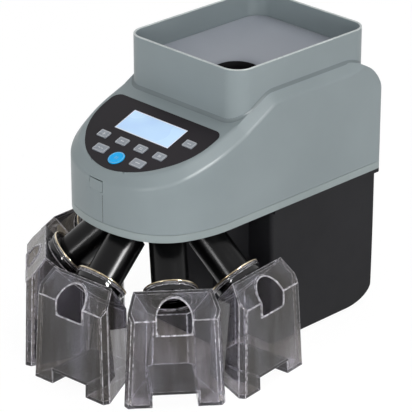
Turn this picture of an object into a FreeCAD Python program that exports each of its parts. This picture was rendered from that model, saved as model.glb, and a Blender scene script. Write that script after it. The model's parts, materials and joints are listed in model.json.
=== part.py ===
import FreeCAD, Part
import math
import os

# A counter-top coin sorter: a hopper feeds a pocketed disc, which carries the coins over
# graded holes, and five slanted tubes drop them into clear cups around the front.
# Millimetres. +X is the machine's right seen from the front, +Y its back, +Z up.
# Z is 0 at the table. X is 0 on the machine's middle plane. Y is 0 halfway along the whole.

V = FreeCAD.Vector

# Clearances and fits
seat_gap = 0.1            # between fixed pieces that sit in each other
play = 0.4                # between pieces that move past each other
running_fit = 0.04        # radial, shaft in bore
seam_gap = 0.4            # between the cover and the deck tray
overrun = 2.5             # how far a cutter runs past the faces it opens
least_straight = 0.2      # left between two rounded corners

# Casing
overall_height = 308.0
foot_height = 3.0
foot_radius = 8.0
wall = 2.5
cover_half_width = 89.0
nose_reach = 84.3         # sorting axis to the front tip
rear_reach = 224.1        # sorting axis to the back
nose_radius = 130.0
nose_angle = 20.0
cheek_angle = 68.0
shoulder_radius = 130.0
rear_corner_radius = 5.0
least_corner_radius = 1.0 # inner side of the same corners, if the walls are thick
deck_height = 152.7       # underside of the deck tray
rim_band = 7.8            # the tray's rim that shows under the cover
deck_thickness = 3.0

# Console, the sloping front of the cover
console_slope = 20.5      # degrees
console_reach = 11.8      # reference point in front of the sorting axis
console_height = 240.5    # height there
shoulder_break = 9.5      # broken edge between the console and the side walls
profile_bend = 30.0       # bends in the side profile
ledge_height = 277.0      # top of the cheeks beside the hopper
ledge_rise_reach = 66.0   # where the cheeks stop rising, behind the sorting axis
rear_round = 50.0
collar_foot_drop = 62.0   # hopper collar's skirt below the rim
scoop_depth = 1.5
scoop_width = 40.0
scoop_foot = 166.0

# Hopper
hopper_offset = 118.2     # sorting axis to the hopper's centre
hopper_width = 158.0
hopper_length = 188.6
hopper_corner = 20.0
hopper_wall = 2.4
rim_round = 0.9           # both edges of the hopper's rim
funnel_depth = 26.0       # rim to the funnel's edge
funnel_drop = 12.0
funnel_thickness = 2.2
feed_hole_radius = 23.0
feed_hole_offset = 17.0   # in front of the hopper's centre
spout_length = 9.0
chute_wall = 2.0
chute_mouth_radius = 24.0
chute_lift = 4.0          # mouth above the guide rail

# Control panel
panel_half_width = 75.6
panel_top = 22.6
panel_waist = 6.0
panel_cheek = (69.5, -23.0)
panel_shoulder = (56.1, -42.8)
panel_foot = -69.4
panel_corner = 10.0
panel_screw_length = 7.6
panel_thickness = 1.4
panel_recess = 1.2
panel_land = 3.0          # width of the recess's step
window_width = 75.5
window_height = 29.6
window_centre = (0.6, -4.8)
window_thickness = 1.3
module_margin = (7.0, 5.0)
module_thickness = 9.0
module_gap = 0.5
board_margin = 7.0
board_thickness = 1.6
board_gap = 6.5           # panel's back to keypad board
key_travel = 0.8
key_proud = 0.9
key_size = (13.6, 9.4)
wide_key_size = (16.4, 10.4)
start_key_radius = 8.6
key_corner = 1.4
key_flange = 1.0
key_flange_thickness = 1.0
key_flange_gap = 0.3
switch_height = 0.8       # dome switches on the keypad board
key_stem_radius = 2.0
key_gap = 0.3
panel_post_radius = 3.5
small_keys = [(-39.0, -32.6), (-12.3, -32.6), (13.9, -32.6), (40.3, -32.6), (55.0, -5.2)]
wide_keys = [(-25.6, -50.2), (27.2, -50.2)]
start_key = (0.7, -54.1)
panel_screw_places = [(-62.0, 12.0), (64.0, 12.0), (-52.0, -31.0), (57.0, -25.0)]

# Cover latch
latch_width = 19.0
latch_height = 11.5
latch_centre_x = -6.0
latch_centre_height = 198.6
latch_travel = 2.5
latch_rim = 1.5           # stop behind the cover's wall
latch_arm_thickness = 2.4
latch_arm_width = 12.0
latch_nose = 1.2
latch_nose_height = 3.0
keeper_width = 16.0
keeper_thickness = 1.5
keeper_lip = 0.8
keeper_height = 22.0
keeper_clear = 1.6        # keeper behind the cover's front wall

# Rear hinge
hinge_offset = 4.6        # pin axis behind the cover's back
hinge_radius = 3.6
hinge_pin_radius = 1.6
hinge_spread = 52.0       # hinge centres, each side of the middle
hinge_knuckle = 12.0
hinge_leaf_height = 16.0
hinge_leaf_thickness = 2.0
hinge_leaf_gap = 1.0      # bracket arms behind the cover's back
hinge_drop = 4.0          # bracket below the tray's rim band
hinge_head_radius = 2.6
hinge_head = 1.2

# Sorting works
disc_radius = 73.0
disc_thickness = 10.0
disc_web = 2.6
disc_lift = 0.6           # disc's underside above the sorting plate
disc_hub_radius = 12.0
disc_hub_height = 7.0
pocket_count = 8
pocket_radius = 15.5
pocket_circle = 54.0
sorting_plate_thickness = 2.0
sorting_plate_hole = 30.0
rail_wall = 2.5
rail_clearance = 1.2
rail_height = 12.5
graded_hole_radii = [9.4, 10.6, 11.8, 13.0, 14.6]
spindle_radius = 4.0
nut_radius = 7.5
nut_height = 5.0
bearing_radius = 11.0
bearing_width = 7.0
bearing_spread = 2.0
bearing_drop = 4.0        # lower bearing below the deck's underside
bearing_lip = 2.0
housing_wall = 3.0
housing_flange = 7.0
housing_flange_thickness = 2.5
pulley_radius = 15.0
pulley_width = 9.0
pulley_flange = 2.0
pulley_flange_thickness = 1.5
pulley_gap = 0.6          # pulley below the bearing housing
belt_way_clear = 2.0      # each side of the pulley, in the pedestal's front wall
motor_pulley_radius = 9.0
belt_thickness = 1.5
belt_width = 5.4
belt_gap = 0.25
motor_reach = 49.0        # motor axis behind the sorting axis
motor_radius = 18.0
motor_length = 62.0
gearbox_length = 24.0
motor_can_radius = 16.5
motor_shaft_radius = 3.0
motor_boss_radius = 8.0
motor_boss_height = 2.0
motor_shaft_depth = 12.0
motor_screw_circle = 13.0
motor_gap = 4.0           # bracket's top to the pulley
bracket_thickness = 2.5
bracket_width = 60.0
bracket_length = 38.0
bracket_flange = 8.0
bracket_screw_length = 5.2

# Fan of tubes and cups
cup_count = 5
cup_pitch = 46.0          # degrees between neighbours
fan_turn = 4.8            # degrees that the middle tube is turned to the right
tube_radius = 18.5
tube_wall = 2.2
tube_top_reach = 52.0     # tube's upper end, from the sorting axis
tube_top_drop = 16.0      # the same, below the deck
tube_insert = 0.7         # how far the tube enters the cup's collar
tube_play = 0.85          # radial, so that a cup pulls straight off its tube
manifold_radius = 75.5
manifold_foot_radius = 24.0
manifold_drop = 24.7
manifold_core = 19.0
manifold_edge = 4.0
manifold_back_reach = 25.5
throat_length = 14.0
drop_hole_radius = 16.0

# Coin cups
cup_lift = 0.4            # cup's feet above the table's plane
cup_wall = 2.2
cup_ridge_reach = 117.8   # sorting axis to the ridge
cup_ridge_height = 115.8
cup_face_reach = 137.6    # sorting axis to the front face at its top
cup_face_height = 92.6
cup_foot_reach = 141.0    # the same at the table
cup_face_half = 47.6
cup_foot_half = 52.0
cup_back_reach = 77.5
cup_back_half = 22.5
cup_corner = 6.0
cup_back_corner = 5.0
collar_drop = 28.5        # ridge to collar centre, along the inner slope
collar_radius = 26.5
collar_neck_radius = 24.0
collar_height = 10.0
collar_flange = 3.0
notch_half = 17.5
notch_bottom = 77.0
notch_spring = 94.0
notch_top = 110.0
notch_depth_reach = 119.5
tunnel_half = 22.0
tunnel_height = 13.5
cup_floor = 2.6

# Base
base_half_width = 84.0
base_inset = 2.0          # base's back wall inside the cover's back
base_top_lip = 4.0
base_draft = 3.6          # how far the back wall leans in at its foot
box_front_reach = 68.2    # box's front wall behind the sorting axis
pedestal_half_width = 52.0
pedestal_front_reach = 26.0
pedestal_corner = 8.0
base_corner = 4.0
base_round_length = 37.6
base_round_height = 18.8
base_plate_thickness = 2.5
boss_inset = 6.0
boss_length = 14.0
foot_inset = 10.0
screw_radius = 1.75
screw_head_radius = 3.4
screw_head_height = 2.0
screw_length = 8.0
screw_slot = (0.8, 4.6, 0.6)
boss_radius = 4.5

# Electrics
main_board_size = (70.0, 88.0, 1.6)
board_lift = 24.0
chip_size = (18.0, 18.0, 2.5)
main_board_place = (-40.0, 128.0)
board_post_radius = 3.5
board_post_inset = 5.0
vent_count = 7
vent_pitch = 9.0
vent_width = 3.0
vent_length = 38.0
vent_depth = 2.5
power_supply_size = (58.0, 84.0, 32.0)
power_supply_place = (40.0, 136.0)
inlet_size = (28.0, 20.0)
inlet_depth = 22.0
inlet_place = (-46.0, 66.0)
inlet_flange = 2.0
inlet_rim = 3.0
inlet_wall = 2.0
socket_depth = 15.0
pin_length = 8.0
pin_width = 2.0
pin_height = 4.0
inlet_pins = [(-7.0, 1.0), (0.0, -2.0), (7.0, 1.0)]
switch_opening = (13.0, 19.0)
switch_place = (-10.0, 66.0)
switch_depth = 14.0
switch_flange = 1.6
switch_rim = 2.6
switch_wall = 1.2
rocker_front = 4.0
rocker_back = 3.0
rocker_margin = 1.0
rocker_proud = 0.6
rocker_pivot_radius = 1.5
rocker_swing = 8.0        # degrees each way
sensor_size = (6.0, 10.0, 5.0)
sensor_turn = 14.0        # degrees past the coin's hole

# Places that follow from the sizes above


def cup_azimuth(index):
    middle = (cup_count - 1) / 2
    return fan_turn + (index - middle) * cup_pitch


def front_extent():
    reach = 0.0
    for index in range(cup_count):
        turn = math.radians(abs(cup_azimuth(index)))
        side = cup_foot_half - cup_corner
        reach = max(reach, cup_foot_reach * math.cos(turn) + side * math.sin(turn))
    return reach


def rear_wall_y(z):
    # The base's back wall, which leans in towards its foot.
    return rear_y - base_inset - base_draft * (base_top - z) / (base_top - foot_height)


hinge_reach = rear_reach + hinge_offset
axis_y = (front_extent() - hinge_reach - hinge_radius) / 2
nose_y = axis_y - nose_reach
rear_y = axis_y + rear_reach
hopper_y = axis_y + hopper_offset
hinge_y = axis_y + hinge_reach
rim_top = deck_height + rim_band
cover_bottom = rim_top + seam_gap
deck_top = deck_height + deck_thickness
hinge_z = cover_bottom + hinge_radius
plate_top = deck_top + sorting_plate_thickness
disc_bottom = plate_top + disc_lift
disc_top = disc_bottom + disc_thickness
rail_top = plate_top + rail_height
rail_inner = disc_radius + rail_clearance
feed_hole_y = hopper_y - feed_hole_offset
funnel_edge = overall_height - funnel_depth
funnel_foot = funnel_edge - funnel_drop
slope = math.radians(console_slope)
# The tube meets the cup's inner slope squarely, and its tilt from upright follows.
tube_out = cup_ridge_reach - tube_top_reach
tube_up = cup_ridge_height - deck_height + tube_top_drop
tilt = math.acos(collar_drop / math.hypot(tube_out, tube_up)) + math.atan2(tube_up, tube_out)
motor_y = axis_y + motor_reach
base_top = deck_height - seat_gap
shell_floor = foot_height + base_plate_thickness
collar_foot = overall_height - collar_foot_drop
key_count = len(small_keys) + len(wide_keys) + 1
board_top = -panel_recess - board_gap

# Latch and keeper, front to back
keeper_front = nose_y + wall + keeper_clear
keeper_back = keeper_front + keeper_thickness
hook_front = keeper_back + keeper_lip + play
arm_front = hook_front + latch_nose
arm_back = arm_front + latch_arm_thickness
hook_foot = deck_top + keeper_height - keeper_thickness - key_flange_gap * 2 - latch_nose_height

# Drive, top to bottom
housing_radius = bearing_radius + housing_wall
lower_bearing_foot = deck_height - bearing_drop
upper_bearing_foot = lower_bearing_foot + bearing_width + bearing_spread
housing_foot = lower_bearing_foot - bearing_lip / 2
pulley_foot = housing_foot - pulley_gap - pulley_width
hub_top = disc_top + disc_hub_height
nut_top = hub_top + nut_height
bracket_foot = pulley_foot - motor_gap - bracket_thickness

# Tubes, collars and cups
collar_bore = tube_radius + tube_play
collar_centre_reach = cup_ridge_reach - collar_drop * math.cos(tilt)
collar_centre_height = cup_ridge_height - collar_drop * math.sin(tilt)
collar_face_reach = collar_centre_reach - collar_height * math.sin(tilt)
collar_face_height = collar_centre_height + collar_height * math.cos(tilt)
tube_length = (collar_face_reach - tube_top_reach) / math.sin(tilt)
tube_top_height = collar_face_height + tube_length * math.cos(tilt)
back_slope = math.tan(tilt)
front_slope = (cup_ridge_height - cup_face_height) / (cup_face_reach - cup_ridge_reach)
back_factor = math.sqrt(1 + back_slope**2)
front_factor = math.sqrt(1 + front_slope**2)
cup_back_top = cup_ridge_height - (cup_ridge_reach - cup_back_reach) * back_slope

# The cup's side wall narrows towards the back and leans by height. Each is a slope, so that
# the wall passes through the front face's top and bottom corners and the back's top corner.
cup_rise = cup_face_height - cup_lift
cup_back_rise = cup_face_height - cup_back_top
cup_depth = cup_face_reach - cup_back_reach
cup_front_lean = cup_foot_reach - cup_face_reach
cup_spread = cup_foot_half - cup_face_half
cup_narrowing = (
    (cup_face_half - cup_back_half) * cup_rise + cup_spread * cup_back_rise
) / (cup_depth * cup_rise + cup_back_rise * cup_front_lean)
cup_leaning = (cup_front_lean * cup_narrowing - cup_spread) / cup_rise
side_factor = math.sqrt(1 + cup_narrowing**2 + cup_leaning**2)

# Rows of small pieces
hinge_foot = rim_top - hinge_drop
floor_lean = base_draft * (base_top - foot_height - base_round_height) / (base_top - foot_height)
floor_end = rear_y - base_inset - floor_lean - base_round_length
side_boss = base_half_width - boss_inset
front_boss = axis_y + box_front_reach + boss_inset
back_boss = rear_y - base_inset - boss_inset
pedestal_boss_x = pedestal_half_width - boss_inset
pedestal_boss_y = axis_y + pedestal_front_reach + pedestal_corner + boss_inset
deck_screw_places = [(s * side_boss, y) for s in (-1, 1) for y in (front_boss, back_boss)]
base_screw_places = [(s * side_boss, y) for s in (-1, 1) for y in (front_boss, floor_end - boss_inset)]
base_screw_places += [(s * pedestal_boss_x, pedestal_boss_y) for s in (-1, 1)]
bracket_screw_x = bracket_width / 2 + bracket_flange / 2
bracket_screw_reach = bracket_length / 2 - bracket_flange
bracket_screw_places = [
    (s * bracket_screw_x, motor_y + t * bracket_screw_reach) for s in (-1, 1) for t in (-1, 1)
]
motor_screw_offset = motor_screw_circle * math.sqrt(0.5)
motor_screw_places = [
    (s * motor_screw_offset, motor_y + t * motor_screw_offset) for s in (-1, 1) for t in (-1, 1)
]
foot_side = base_half_width - wall - foot_inset - foot_radius
box_foot_y = axis_y + box_front_reach + wall + foot_inset + foot_radius
front_foot_side = pedestal_half_width - wall - foot_inset - foot_radius
front_foot_y = axis_y + pedestal_front_reach + pedestal_corner + foot_radius
foot_places = [(s * foot_side, floor_end - foot_inset - foot_radius) for s in (-1, 1)]
foot_places += [(s * foot_side, box_foot_y) for s in (-1, 1)]
foot_places += [(s * front_foot_side, front_foot_y) for s in (-1, 1)]
board_half_x = main_board_size[0] / 2 - board_post_inset
board_half_y = main_board_size[1] / 2 - board_post_inset
board_post_places = [
    (main_board_place[0] + s * board_half_x, axis_y + main_board_place[1] + t * board_half_y)
    for s in (-1, 1)
    for t in (-1, 1)
]
switch_seat = rear_wall_y(switch_place[1] + switch_opening[1] / 2 + switch_rim)
switch_face = switch_seat + switch_flange
rocker_y = switch_face + rocker_proud - rocker_front

# How the faces and edges of the cover are told apart, by the faces' normals
steep = 0.3
upright = 0.02
backward = 0.9
cheek_radius = (
    cover_half_width
    - nose_radius * math.sin(math.radians(nose_angle))
    - shoulder_radius * (1 - math.sin(math.radians(cheek_angle)))
) / (math.sin(math.radians(cheek_angle)) - math.sin(math.radians(nose_angle)))
console = FreeCAD.Placement(
    V(0, axis_y - console_reach, console_height),
    FreeCAD.Rotation(V(1, 0, 0), console_slope),
)


# Small helpers


def block(x0, x1, y0, y1, z0, z1):
    return Part.makeBox(x1 - x0, y1 - y0, z1 - z0, V(x0, y0, z0))


def post(radius, z0, z1, x=0.0, y=0.0):
    return Part.makeCylinder(radius, z1 - z0, V(x, y, z0))


def ring(outer, inner, z0, z1, x=0.0, y=0.0):
    return post(outer, z0, z1, x, y).cut(post(inner, z0 - 1, z1 + 1, x, y))


def rounded_wire(x0, x1, y0, y1, radius, z):
    # Two corners never use up a whole side: a sliver of it stays straight.
    r = min(radius, (x1 - x0) / 2 - least_straight, (y1 - y0) / 2 - least_straight)
    k = r * (1 - math.sqrt(0.5))
    corners = [
        (V(x1 - r, y0, z), V(x1 - k, y0 + k, z), V(x1, y0 + r, z)),
        (V(x1, y1 - r, z), V(x1 - k, y1 - k, z), V(x1 - r, y1, z)),
        (V(x0 + r, y1, z), V(x0 + k, y1 - k, z), V(x0, y1 - r, z)),
        (V(x0, y0 + r, z), V(x0 + k, y0 + k, z), V(x0 + r, y0, z)),
    ]
    edges = []
    for index, (start, middle, end) in enumerate(corners):
        edges.append(Part.Arc(start, middle, end).toShape())
        following = corners[(index + 1) % 4][0]
        edges.append(Part.LineSegment(end, following).toShape())
    return Part.Wire(edges)


def rounded_block(x0, x1, y0, y1, z0, z1, radius):
    face = Part.Face(rounded_wire(x0, x1, y0, y1, radius, z0))
    return face.extrude(V(0, 0, z1 - z0))


def fuse(shapes):
    result = shapes[0]
    for shape in shapes[1:]:
        result = result.fuse(shape)
    return result.removeSplitter()


def on_console(shape):
    moved = shape.copy()
    moved.Placement = console.multiply(moved.Placement)
    return moved


def around_axis(shape, azimuth):
    # A shape made for the tube that points straight forward, turned to its own place.
    turned = shape.copy()
    turned.rotate(V(0, axis_y, 0), V(0, 0, 1), azimuth)
    return turned


def x_post(radius, x0, x1, y, z):
    return Part.makeCylinder(radius, x1 - x0, V(x0, y, z), V(1, 0, 0))


def hexagon(radius, z0, z1, x, y):
    points = []
    for index in range(6):
        turn = 2 * math.pi * index / 6
        points.append(V(x + radius * math.cos(turn), y + radius * math.sin(turn), z0))
    return Part.Face(Part.makePolygon(points + points[:1])).extrude(V(0, 0, z1 - z0))


def screw(x, y, z, down, length):
    # z is the face the head sits on.
    sign = -1 if down else 1
    axis = V(0, 0, sign)
    shank = Part.makeCylinder(screw_radius, length, V(x, y, z), axis)
    head = Part.makeCylinder(screw_head_radius, screw_head_height, V(x, y, z), -axis)
    width, reach, depth = screw_slot
    face = z - sign * screw_head_height
    slot = block(x - width / 2, x + width / 2, y - reach / 2, y + reach / 2, face - depth, face + depth)
    return shank.fuse(head).cut(slot)


# Casing outline


def casing_wire(inset, z):
    # The plan of the casing: three tangent arcs each side of the nose and a straight tail.
    a1 = math.radians(nose_angle)
    a2 = math.radians(cheek_angle)
    c0 = (0.0, nose_y + nose_radius)
    step = nose_radius - cheek_radius
    c1 = (c0[0] + step * math.sin(a1), c0[1] - step * math.cos(a1))
    step = cheek_radius - shoulder_radius
    c2 = (c1[0] + step * math.sin(a2), c1[1] - step * math.cos(a2))
    arcs = [
        (c0, nose_radius - inset, 0.0, a1),
        (c1, cheek_radius - inset, a1, a2),
        (c2, shoulder_radius - inset, a2, math.pi / 2),
    ]

    def spot(centre, radius, angle, side):
        x = centre[0] + radius * math.sin(angle)
        return V(side * x, centre[1] - radius * math.cos(angle), z)

    right = []
    left = []
    for centre, radius, start, end in arcs:
        middle = (start + end) / 2
        angles = (start, middle, end)
        right.append(Part.Arc(*[spot(centre, radius, a, 1) for a in angles]).toShape())
        left.append(Part.Arc(*[spot(centre, radius, a, -1) for a in reversed(angles)]).toShape())
    half = cover_half_width - inset
    back = rear_y - inset
    r = max(rear_corner_radius - inset, least_corner_radius)
    k = r * (1 - math.sqrt(0.5))
    flank = c2[1]
    tail = [
        Part.LineSegment(V(half, flank, z), V(half, back - r, z)).toShape(),
        Part.Arc(V(half, back - r, z), V(half - k, back - k, z), V(half - r, back, z)).toShape(),
        Part.LineSegment(V(half - r, back, z), V(r - half, back, z)).toShape(),
        Part.Arc(V(r - half, back, z), V(k - half, back - k, z), V(-half, back - r, z)).toShape(),
        Part.LineSegment(V(-half, back - r, z), V(-half, flank, z)).toShape(),
    ]
    return Part.Wire(right + tail + left[::-1])


def casing_block(inset, z0, z1):
    return Part.Face(casing_wire(inset, z0)).extrude(V(0, 0, z1 - z0))


def square_tailed_block(inset, z0, z1):
    half = cover_half_width - inset
    tail = block(-half, half, rear_y - rear_round, rear_y - inset, z0, z1)
    return casing_block(inset, z0, z1).fuse(tail).removeSplitter()


def console_z(y):
    return console_height + (y - (axis_y - console_reach)) * math.tan(slope)


def turn_arc(before, corner, after, radius):
    # The tangent arc that rounds one corner: its start, middle and end.
    a = before.sub(corner)
    a.normalize()
    b = after.sub(corner)
    b.normalize()
    half = math.acos(a.dot(b)) / 2
    reach = radius / math.tan(half)
    inward = a.add(b)
    inward.normalize()
    start = corner.add(V(a).multiply(reach))
    middle = corner.add(inward.multiply(radius / math.sin(half) - radius))
    end = corner.add(V(b).multiply(reach))
    return start, middle, end


def rounded_polygon(corners, radii):
    # A closed face through the corners, each rounded by its own radius, or sharp at zero.
    turns = []
    count = len(corners)
    for index, corner in enumerate(corners):
        if radii[index]:
            after = corners[(index + 1) % count]
            turns.append(turn_arc(corners[index - 1], corner, after, radii[index]))
        else:
            turns.append((corner, None, corner))
    edges = []
    for index, (start, middle, end) in enumerate(turns):
        if middle is not None:
            edges.append(Part.Arc(start, middle, end).toShape())
        following = turns[(index + 1) % count][0]
        edges.append(Part.LineSegment(end, following).toShape())
    return Part.Face(Part.Wire(edges))


def side_solid(points, radii):
    side = cover_half_width + overrun
    corners = [V(-side, y, z) for y, z in points]
    return rounded_polygon(corners, radii).extrude(V(2 * side, 0, 0))


def cover_body(inset, bottom):
    # The closed cover under its side profile: console, rise beside the hopper, ledge, round back.
    start_y = nose_y - overrun
    break_y = hopper_y - hopper_length / 2
    rise_y = axis_y + ledge_rise_reach
    back = rear_y + overrun
    top = ledge_height - inset
    lift = inset / math.cos(slope)
    low = bottom - overrun
    points = [
        (start_y, low),
        (start_y, console_z(start_y) - lift),
        (break_y, console_z(break_y) - lift),
        (rise_y, top),
        (back, top),
        (back, low),
    ]
    profile = side_solid(points, [0, 0, profile_bend, profile_bend, 0, 0])
    body = square_tailed_block(inset, bottom, overall_height).common(profile).removeSplitter()
    body = body.makeChamfer(shoulder_break, shoulder_edges(body, bottom))
    back_points = [(start_y, low), (start_y, top), (rear_y - inset, top), (rear_y - inset, low)]
    rounded_back = side_solid(back_points, [0, 0, rear_round - inset, 0])
    return body.common(casing_block(inset, bottom, overall_height)).common(rounded_back)


def normals_at(body, edge):
    # The outward normals of the faces that meet halfway along an edge.
    middle = edge.valueAt((edge.FirstParameter + edge.LastParameter) / 2)
    normals = []
    for face in body.ancestorsOfType(edge, Part.Face):
        u, v = face.Surface.parameter(middle)
        normals.append(face.normalAt(u, v))
    return normals


def shoulder_edges(body, bottom):
    # The edges where the sloping top meets the upright sides, back edge left out.
    edges = []
    for edge in body.Edges:
        normals = normals_at(body, edge)
        tops = [n for n in normals if n.z > steep]
        sides = [n for n in normals if abs(n.z) < upright and n.y < backward]
        if len(tops) == 1 and len(sides) == 1 and edge.BoundBox.ZMax > bottom + wall:
            edges.append(edge)
    return edges


def hopper_box(inset, z0, z1):
    half_x = hopper_width / 2 - inset
    half_y = hopper_length / 2 - inset
    corner = hopper_corner - inset
    return rounded_block(-half_x, half_x, hopper_y - half_y, hopper_y + half_y, z0, z1, corner)


# Control panel outline, on the console plane


def panel_face(inset, w):
    # Straight top and sides, then two arcs to the foot of the panel at the front.
    half = panel_half_width
    k = panel_corner * (1 - math.sqrt(0.5))
    top = panel_top
    cheek_x, cheek_v = panel_cheek
    shoulder_x, shoulder_v = panel_shoulder

    def both(x, v):
        return V(x, v, w), V(-x, v, w)

    right = []
    left = []
    chains = [
        [(half - panel_corner, top), (half - k, top - k), (half, top - panel_corner)],
        [(half, top - panel_corner), (half, panel_waist)],
        [(half, panel_waist), (cheek_x, cheek_v), (shoulder_x, shoulder_v)],
    ]
    for chain in chains:
        spots = [both(x, v) for x, v in chain]
        maker = Part.Arc if len(chain) == 3 else Part.LineSegment
        right.append(maker(*[a for a, b in spots]).toShape())
        left.append(maker(*[b for a, b in reversed(spots)]).toShape())
    foot = Part.Arc(V(shoulder_x, shoulder_v, w), V(0, panel_foot, w), V(-shoulder_x, shoulder_v, w))
    top_edge = Part.LineSegment(V(panel_corner - half, top, w), V(half - panel_corner, top, w))
    face = Part.Face(Part.Wire([top_edge.toShape()] + right + [foot.toShape()] + left[::-1]))
    if inset:
        return face.makeOffset2D(-inset)
    return face


def panel_block(inset, w0, w1):
    return panel_face(inset, w0).extrude(V(0, 0, w1 - w0))


def pad(size, place, w0, w1, margin=0.0):
    half_x = size[0] / 2 + margin
    half_v = size[1] / 2 + margin
    x, v = place
    return rounded_block(x - half_x, x + half_x, v - half_v, v + half_v, w0, w1, key_corner + margin)


def window_block(margin_x, margin_v, w0, w1):
    x, v = window_centre
    half_x = window_width / 2 + margin_x
    half_v = window_height / 2 + margin_v
    return block(x - half_x, x + half_x, v - half_v, v + half_v, w0, w1)


def key_prism(index, w0, w1, margin=0.0):
    if index < len(small_keys):
        return pad(key_size, small_keys[index], w0, w1, margin)
    if index < len(small_keys) + len(wide_keys):
        return pad(wide_key_size, wide_keys[index - len(small_keys)], w0, w1, margin)
    x, v = start_key
    return post(start_key_radius + margin, w0, w1, x, v)


def key_place(index):
    return (small_keys + wide_keys + [start_key])[index]


# Cover


def top_cover():
    ring_wall = hopper_box(0.0, collar_foot, overall_height)
    skin = cover_body(0.0, cover_bottom).fuse(ring_wall).removeSplitter()
    hollow = cover_body(wall, cover_bottom - overrun)
    shell = skin.cut(hollow.cut(ring_wall))
    shell = shell.cut(hopper_box(hopper_wall, cover_bottom - overrun, overall_height + overrun))
    shell = shell.cut(on_console(panel_block(0.0, -panel_recess, overrun)))
    shell = shell.cut(on_console(panel_block(panel_land, -panel_recess - wall - overrun, overrun)))
    shell = shell.cut(latch_block(play, nose_y - overrun, arm_back + latch_travel))
    shell = shell.cut(finger_scoop())
    rim = [edge for edge in shell.Edges if edge.BoundBox.ZMin > overall_height - seat_gap]
    return shell.makeFillet(rim_round, rim)


def latch_block(margin, y0, y1):
    half_x = latch_width / 2 + margin
    half_z = latch_height / 2 + margin
    x = latch_centre_x
    z = latch_centre_height
    return block(x - half_x, x + half_x, y0, y1, z - half_z, z + half_z)


def finger_scoop():
    # A shallow dished area left of the middle line, deepest under the latch.
    points = [
        V(0, nose_y - overrun, scoop_foot),
        V(0, nose_y, scoop_foot),
        V(0, nose_y + scoop_depth, latch_centre_height),
        V(0, nose_y - overrun, latch_centre_height),
    ]
    face = Part.Face(Part.makePolygon(points + points[:1]))
    return face.extrude(V(-scoop_width, 0, 0))


def hopper_funnel():
    edge = hopper_wall + seat_gap
    low_edge = funnel_edge - funnel_thickness
    low_foot = funnel_foot - funnel_thickness

    def tray_wire(inset, z):
        half_x = hopper_width / 2 - inset
        half_y = hopper_length / 2 - inset
        y = hopper_y
        return rounded_wire(-half_x, half_x, y - half_y, y + half_y, hopper_corner - inset, z)

    def hole_wire(radius, z):
        y = feed_hole_y
        return rounded_wire(-radius, radius, y - radius, y + radius, radius, z)

    inner_edge = edge + funnel_thickness
    outer = Part.makeLoft(
        [tray_wire(edge, low_edge), hole_wire(feed_hole_radius + funnel_thickness, low_foot)],
        True,
        True,
    )
    outer = outer.fuse(hopper_box(edge, low_edge, funnel_edge))
    inner = Part.makeLoft(
        [tray_wire(inner_edge, funnel_edge), hole_wire(feed_hole_radius, funnel_foot)], True, True
    )
    inner = inner.fuse(hopper_box(inner_edge, funnel_edge, funnel_edge + overrun))
    spout_foot = low_foot - spout_length
    spout = post(feed_hole_radius + funnel_thickness, spout_foot, funnel_foot, 0, feed_hole_y)
    bore = post(feed_hole_radius, spout_foot - overrun, funnel_edge, 0, feed_hole_y)
    return outer.cut(inner).fuse(spout).cut(bore).removeSplitter()


def feed_chute():
    sleeve_inner = feed_hole_radius + funnel_thickness + seat_gap
    sleeve_top = funnel_foot - funnel_thickness - seat_gap
    sleeve_foot = sleeve_top - 2 * spout_length
    mouth_foot = rail_top + chute_lift
    mouth_top = mouth_foot + chute_lift
    mouth_y = axis_y + pocket_circle

    def solid(extra):
        top = sleeve_inner + extra
        mouth = chute_mouth_radius + extra
        high = Part.Wire([Part.makeCircle(top, V(0, feed_hole_y, sleeve_foot))])
        low = Part.Wire([Part.makeCircle(mouth, V(0, mouth_y, mouth_top))])
        slope_part = Part.makeLoft([low, high], True, True)
        sleeve = post(top, sleeve_foot, sleeve_top, 0, feed_hole_y)
        foot = post(mouth, mouth_foot, mouth_top, 0, mouth_y)
        return slope_part.fuse(sleeve).fuse(foot)

    bore_top = post(sleeve_inner, sleeve_foot, sleeve_top + overrun, 0, feed_hole_y)
    bore_foot = post(chute_mouth_radius, mouth_foot - overrun, mouth_top, 0, mouth_y)
    return solid(chute_wall).cut(solid(0.0)).cut(bore_top).cut(bore_foot).removeSplitter()


def cover_knuckles():
    shapes = []
    for side in (-1, 1):
        x = side * hinge_spread
        half = hinge_knuckle / 2
        leaf = block(
            x - half,
            x + half,
            rear_y,
            rear_y + hinge_leaf_thickness,
            cover_bottom,
            cover_bottom + hinge_leaf_height,
        )
        web = block(x - half, x + half, rear_y, hinge_y, hinge_z, hinge_z + hinge_radius)
        barrel = x_post(hinge_radius, x - half, x + half, hinge_y, hinge_z)
        reach = half + overrun
        bore = x_post(hinge_pin_radius + running_fit, x - reach, x + reach, hinge_y, hinge_z)
        shapes.append(fuse([leaf, web, barrel]).cut(bore))
    return Part.makeCompound(shapes)


# Control panel pieces


def control_panel():
    low = -panel_recess
    plate = panel_block(seat_gap, low, low + panel_thickness)
    shape = plate.cut(window_block(0.0, 0.0, low - overrun, overrun))
    for index in range(key_count):
        shape = shape.cut(key_prism(index, low - overrun, overrun, key_gap))
    for x, v in panel_screw_places:
        shape = shape.fuse(post(panel_post_radius, board_top, low, x, v))
    for x, v in panel_screw_places:
        shape = shape.cut(post(screw_radius + seat_gap, board_top - overrun, low, x, v))
    return on_console(shape.removeSplitter())


def lcd_window():
    return on_console(window_block(-seat_gap, -seat_gap, -panel_recess, window_thickness - panel_recess))


def lcd_module():
    margin_x, margin_v = module_margin
    top = -panel_recess - module_gap
    body = window_block(margin_x, margin_v, top - module_thickness, top)
    glass = window_block(-module_gap, -module_gap, top - board_thickness, top + overrun)
    return on_console(body.cut(glass))


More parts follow.
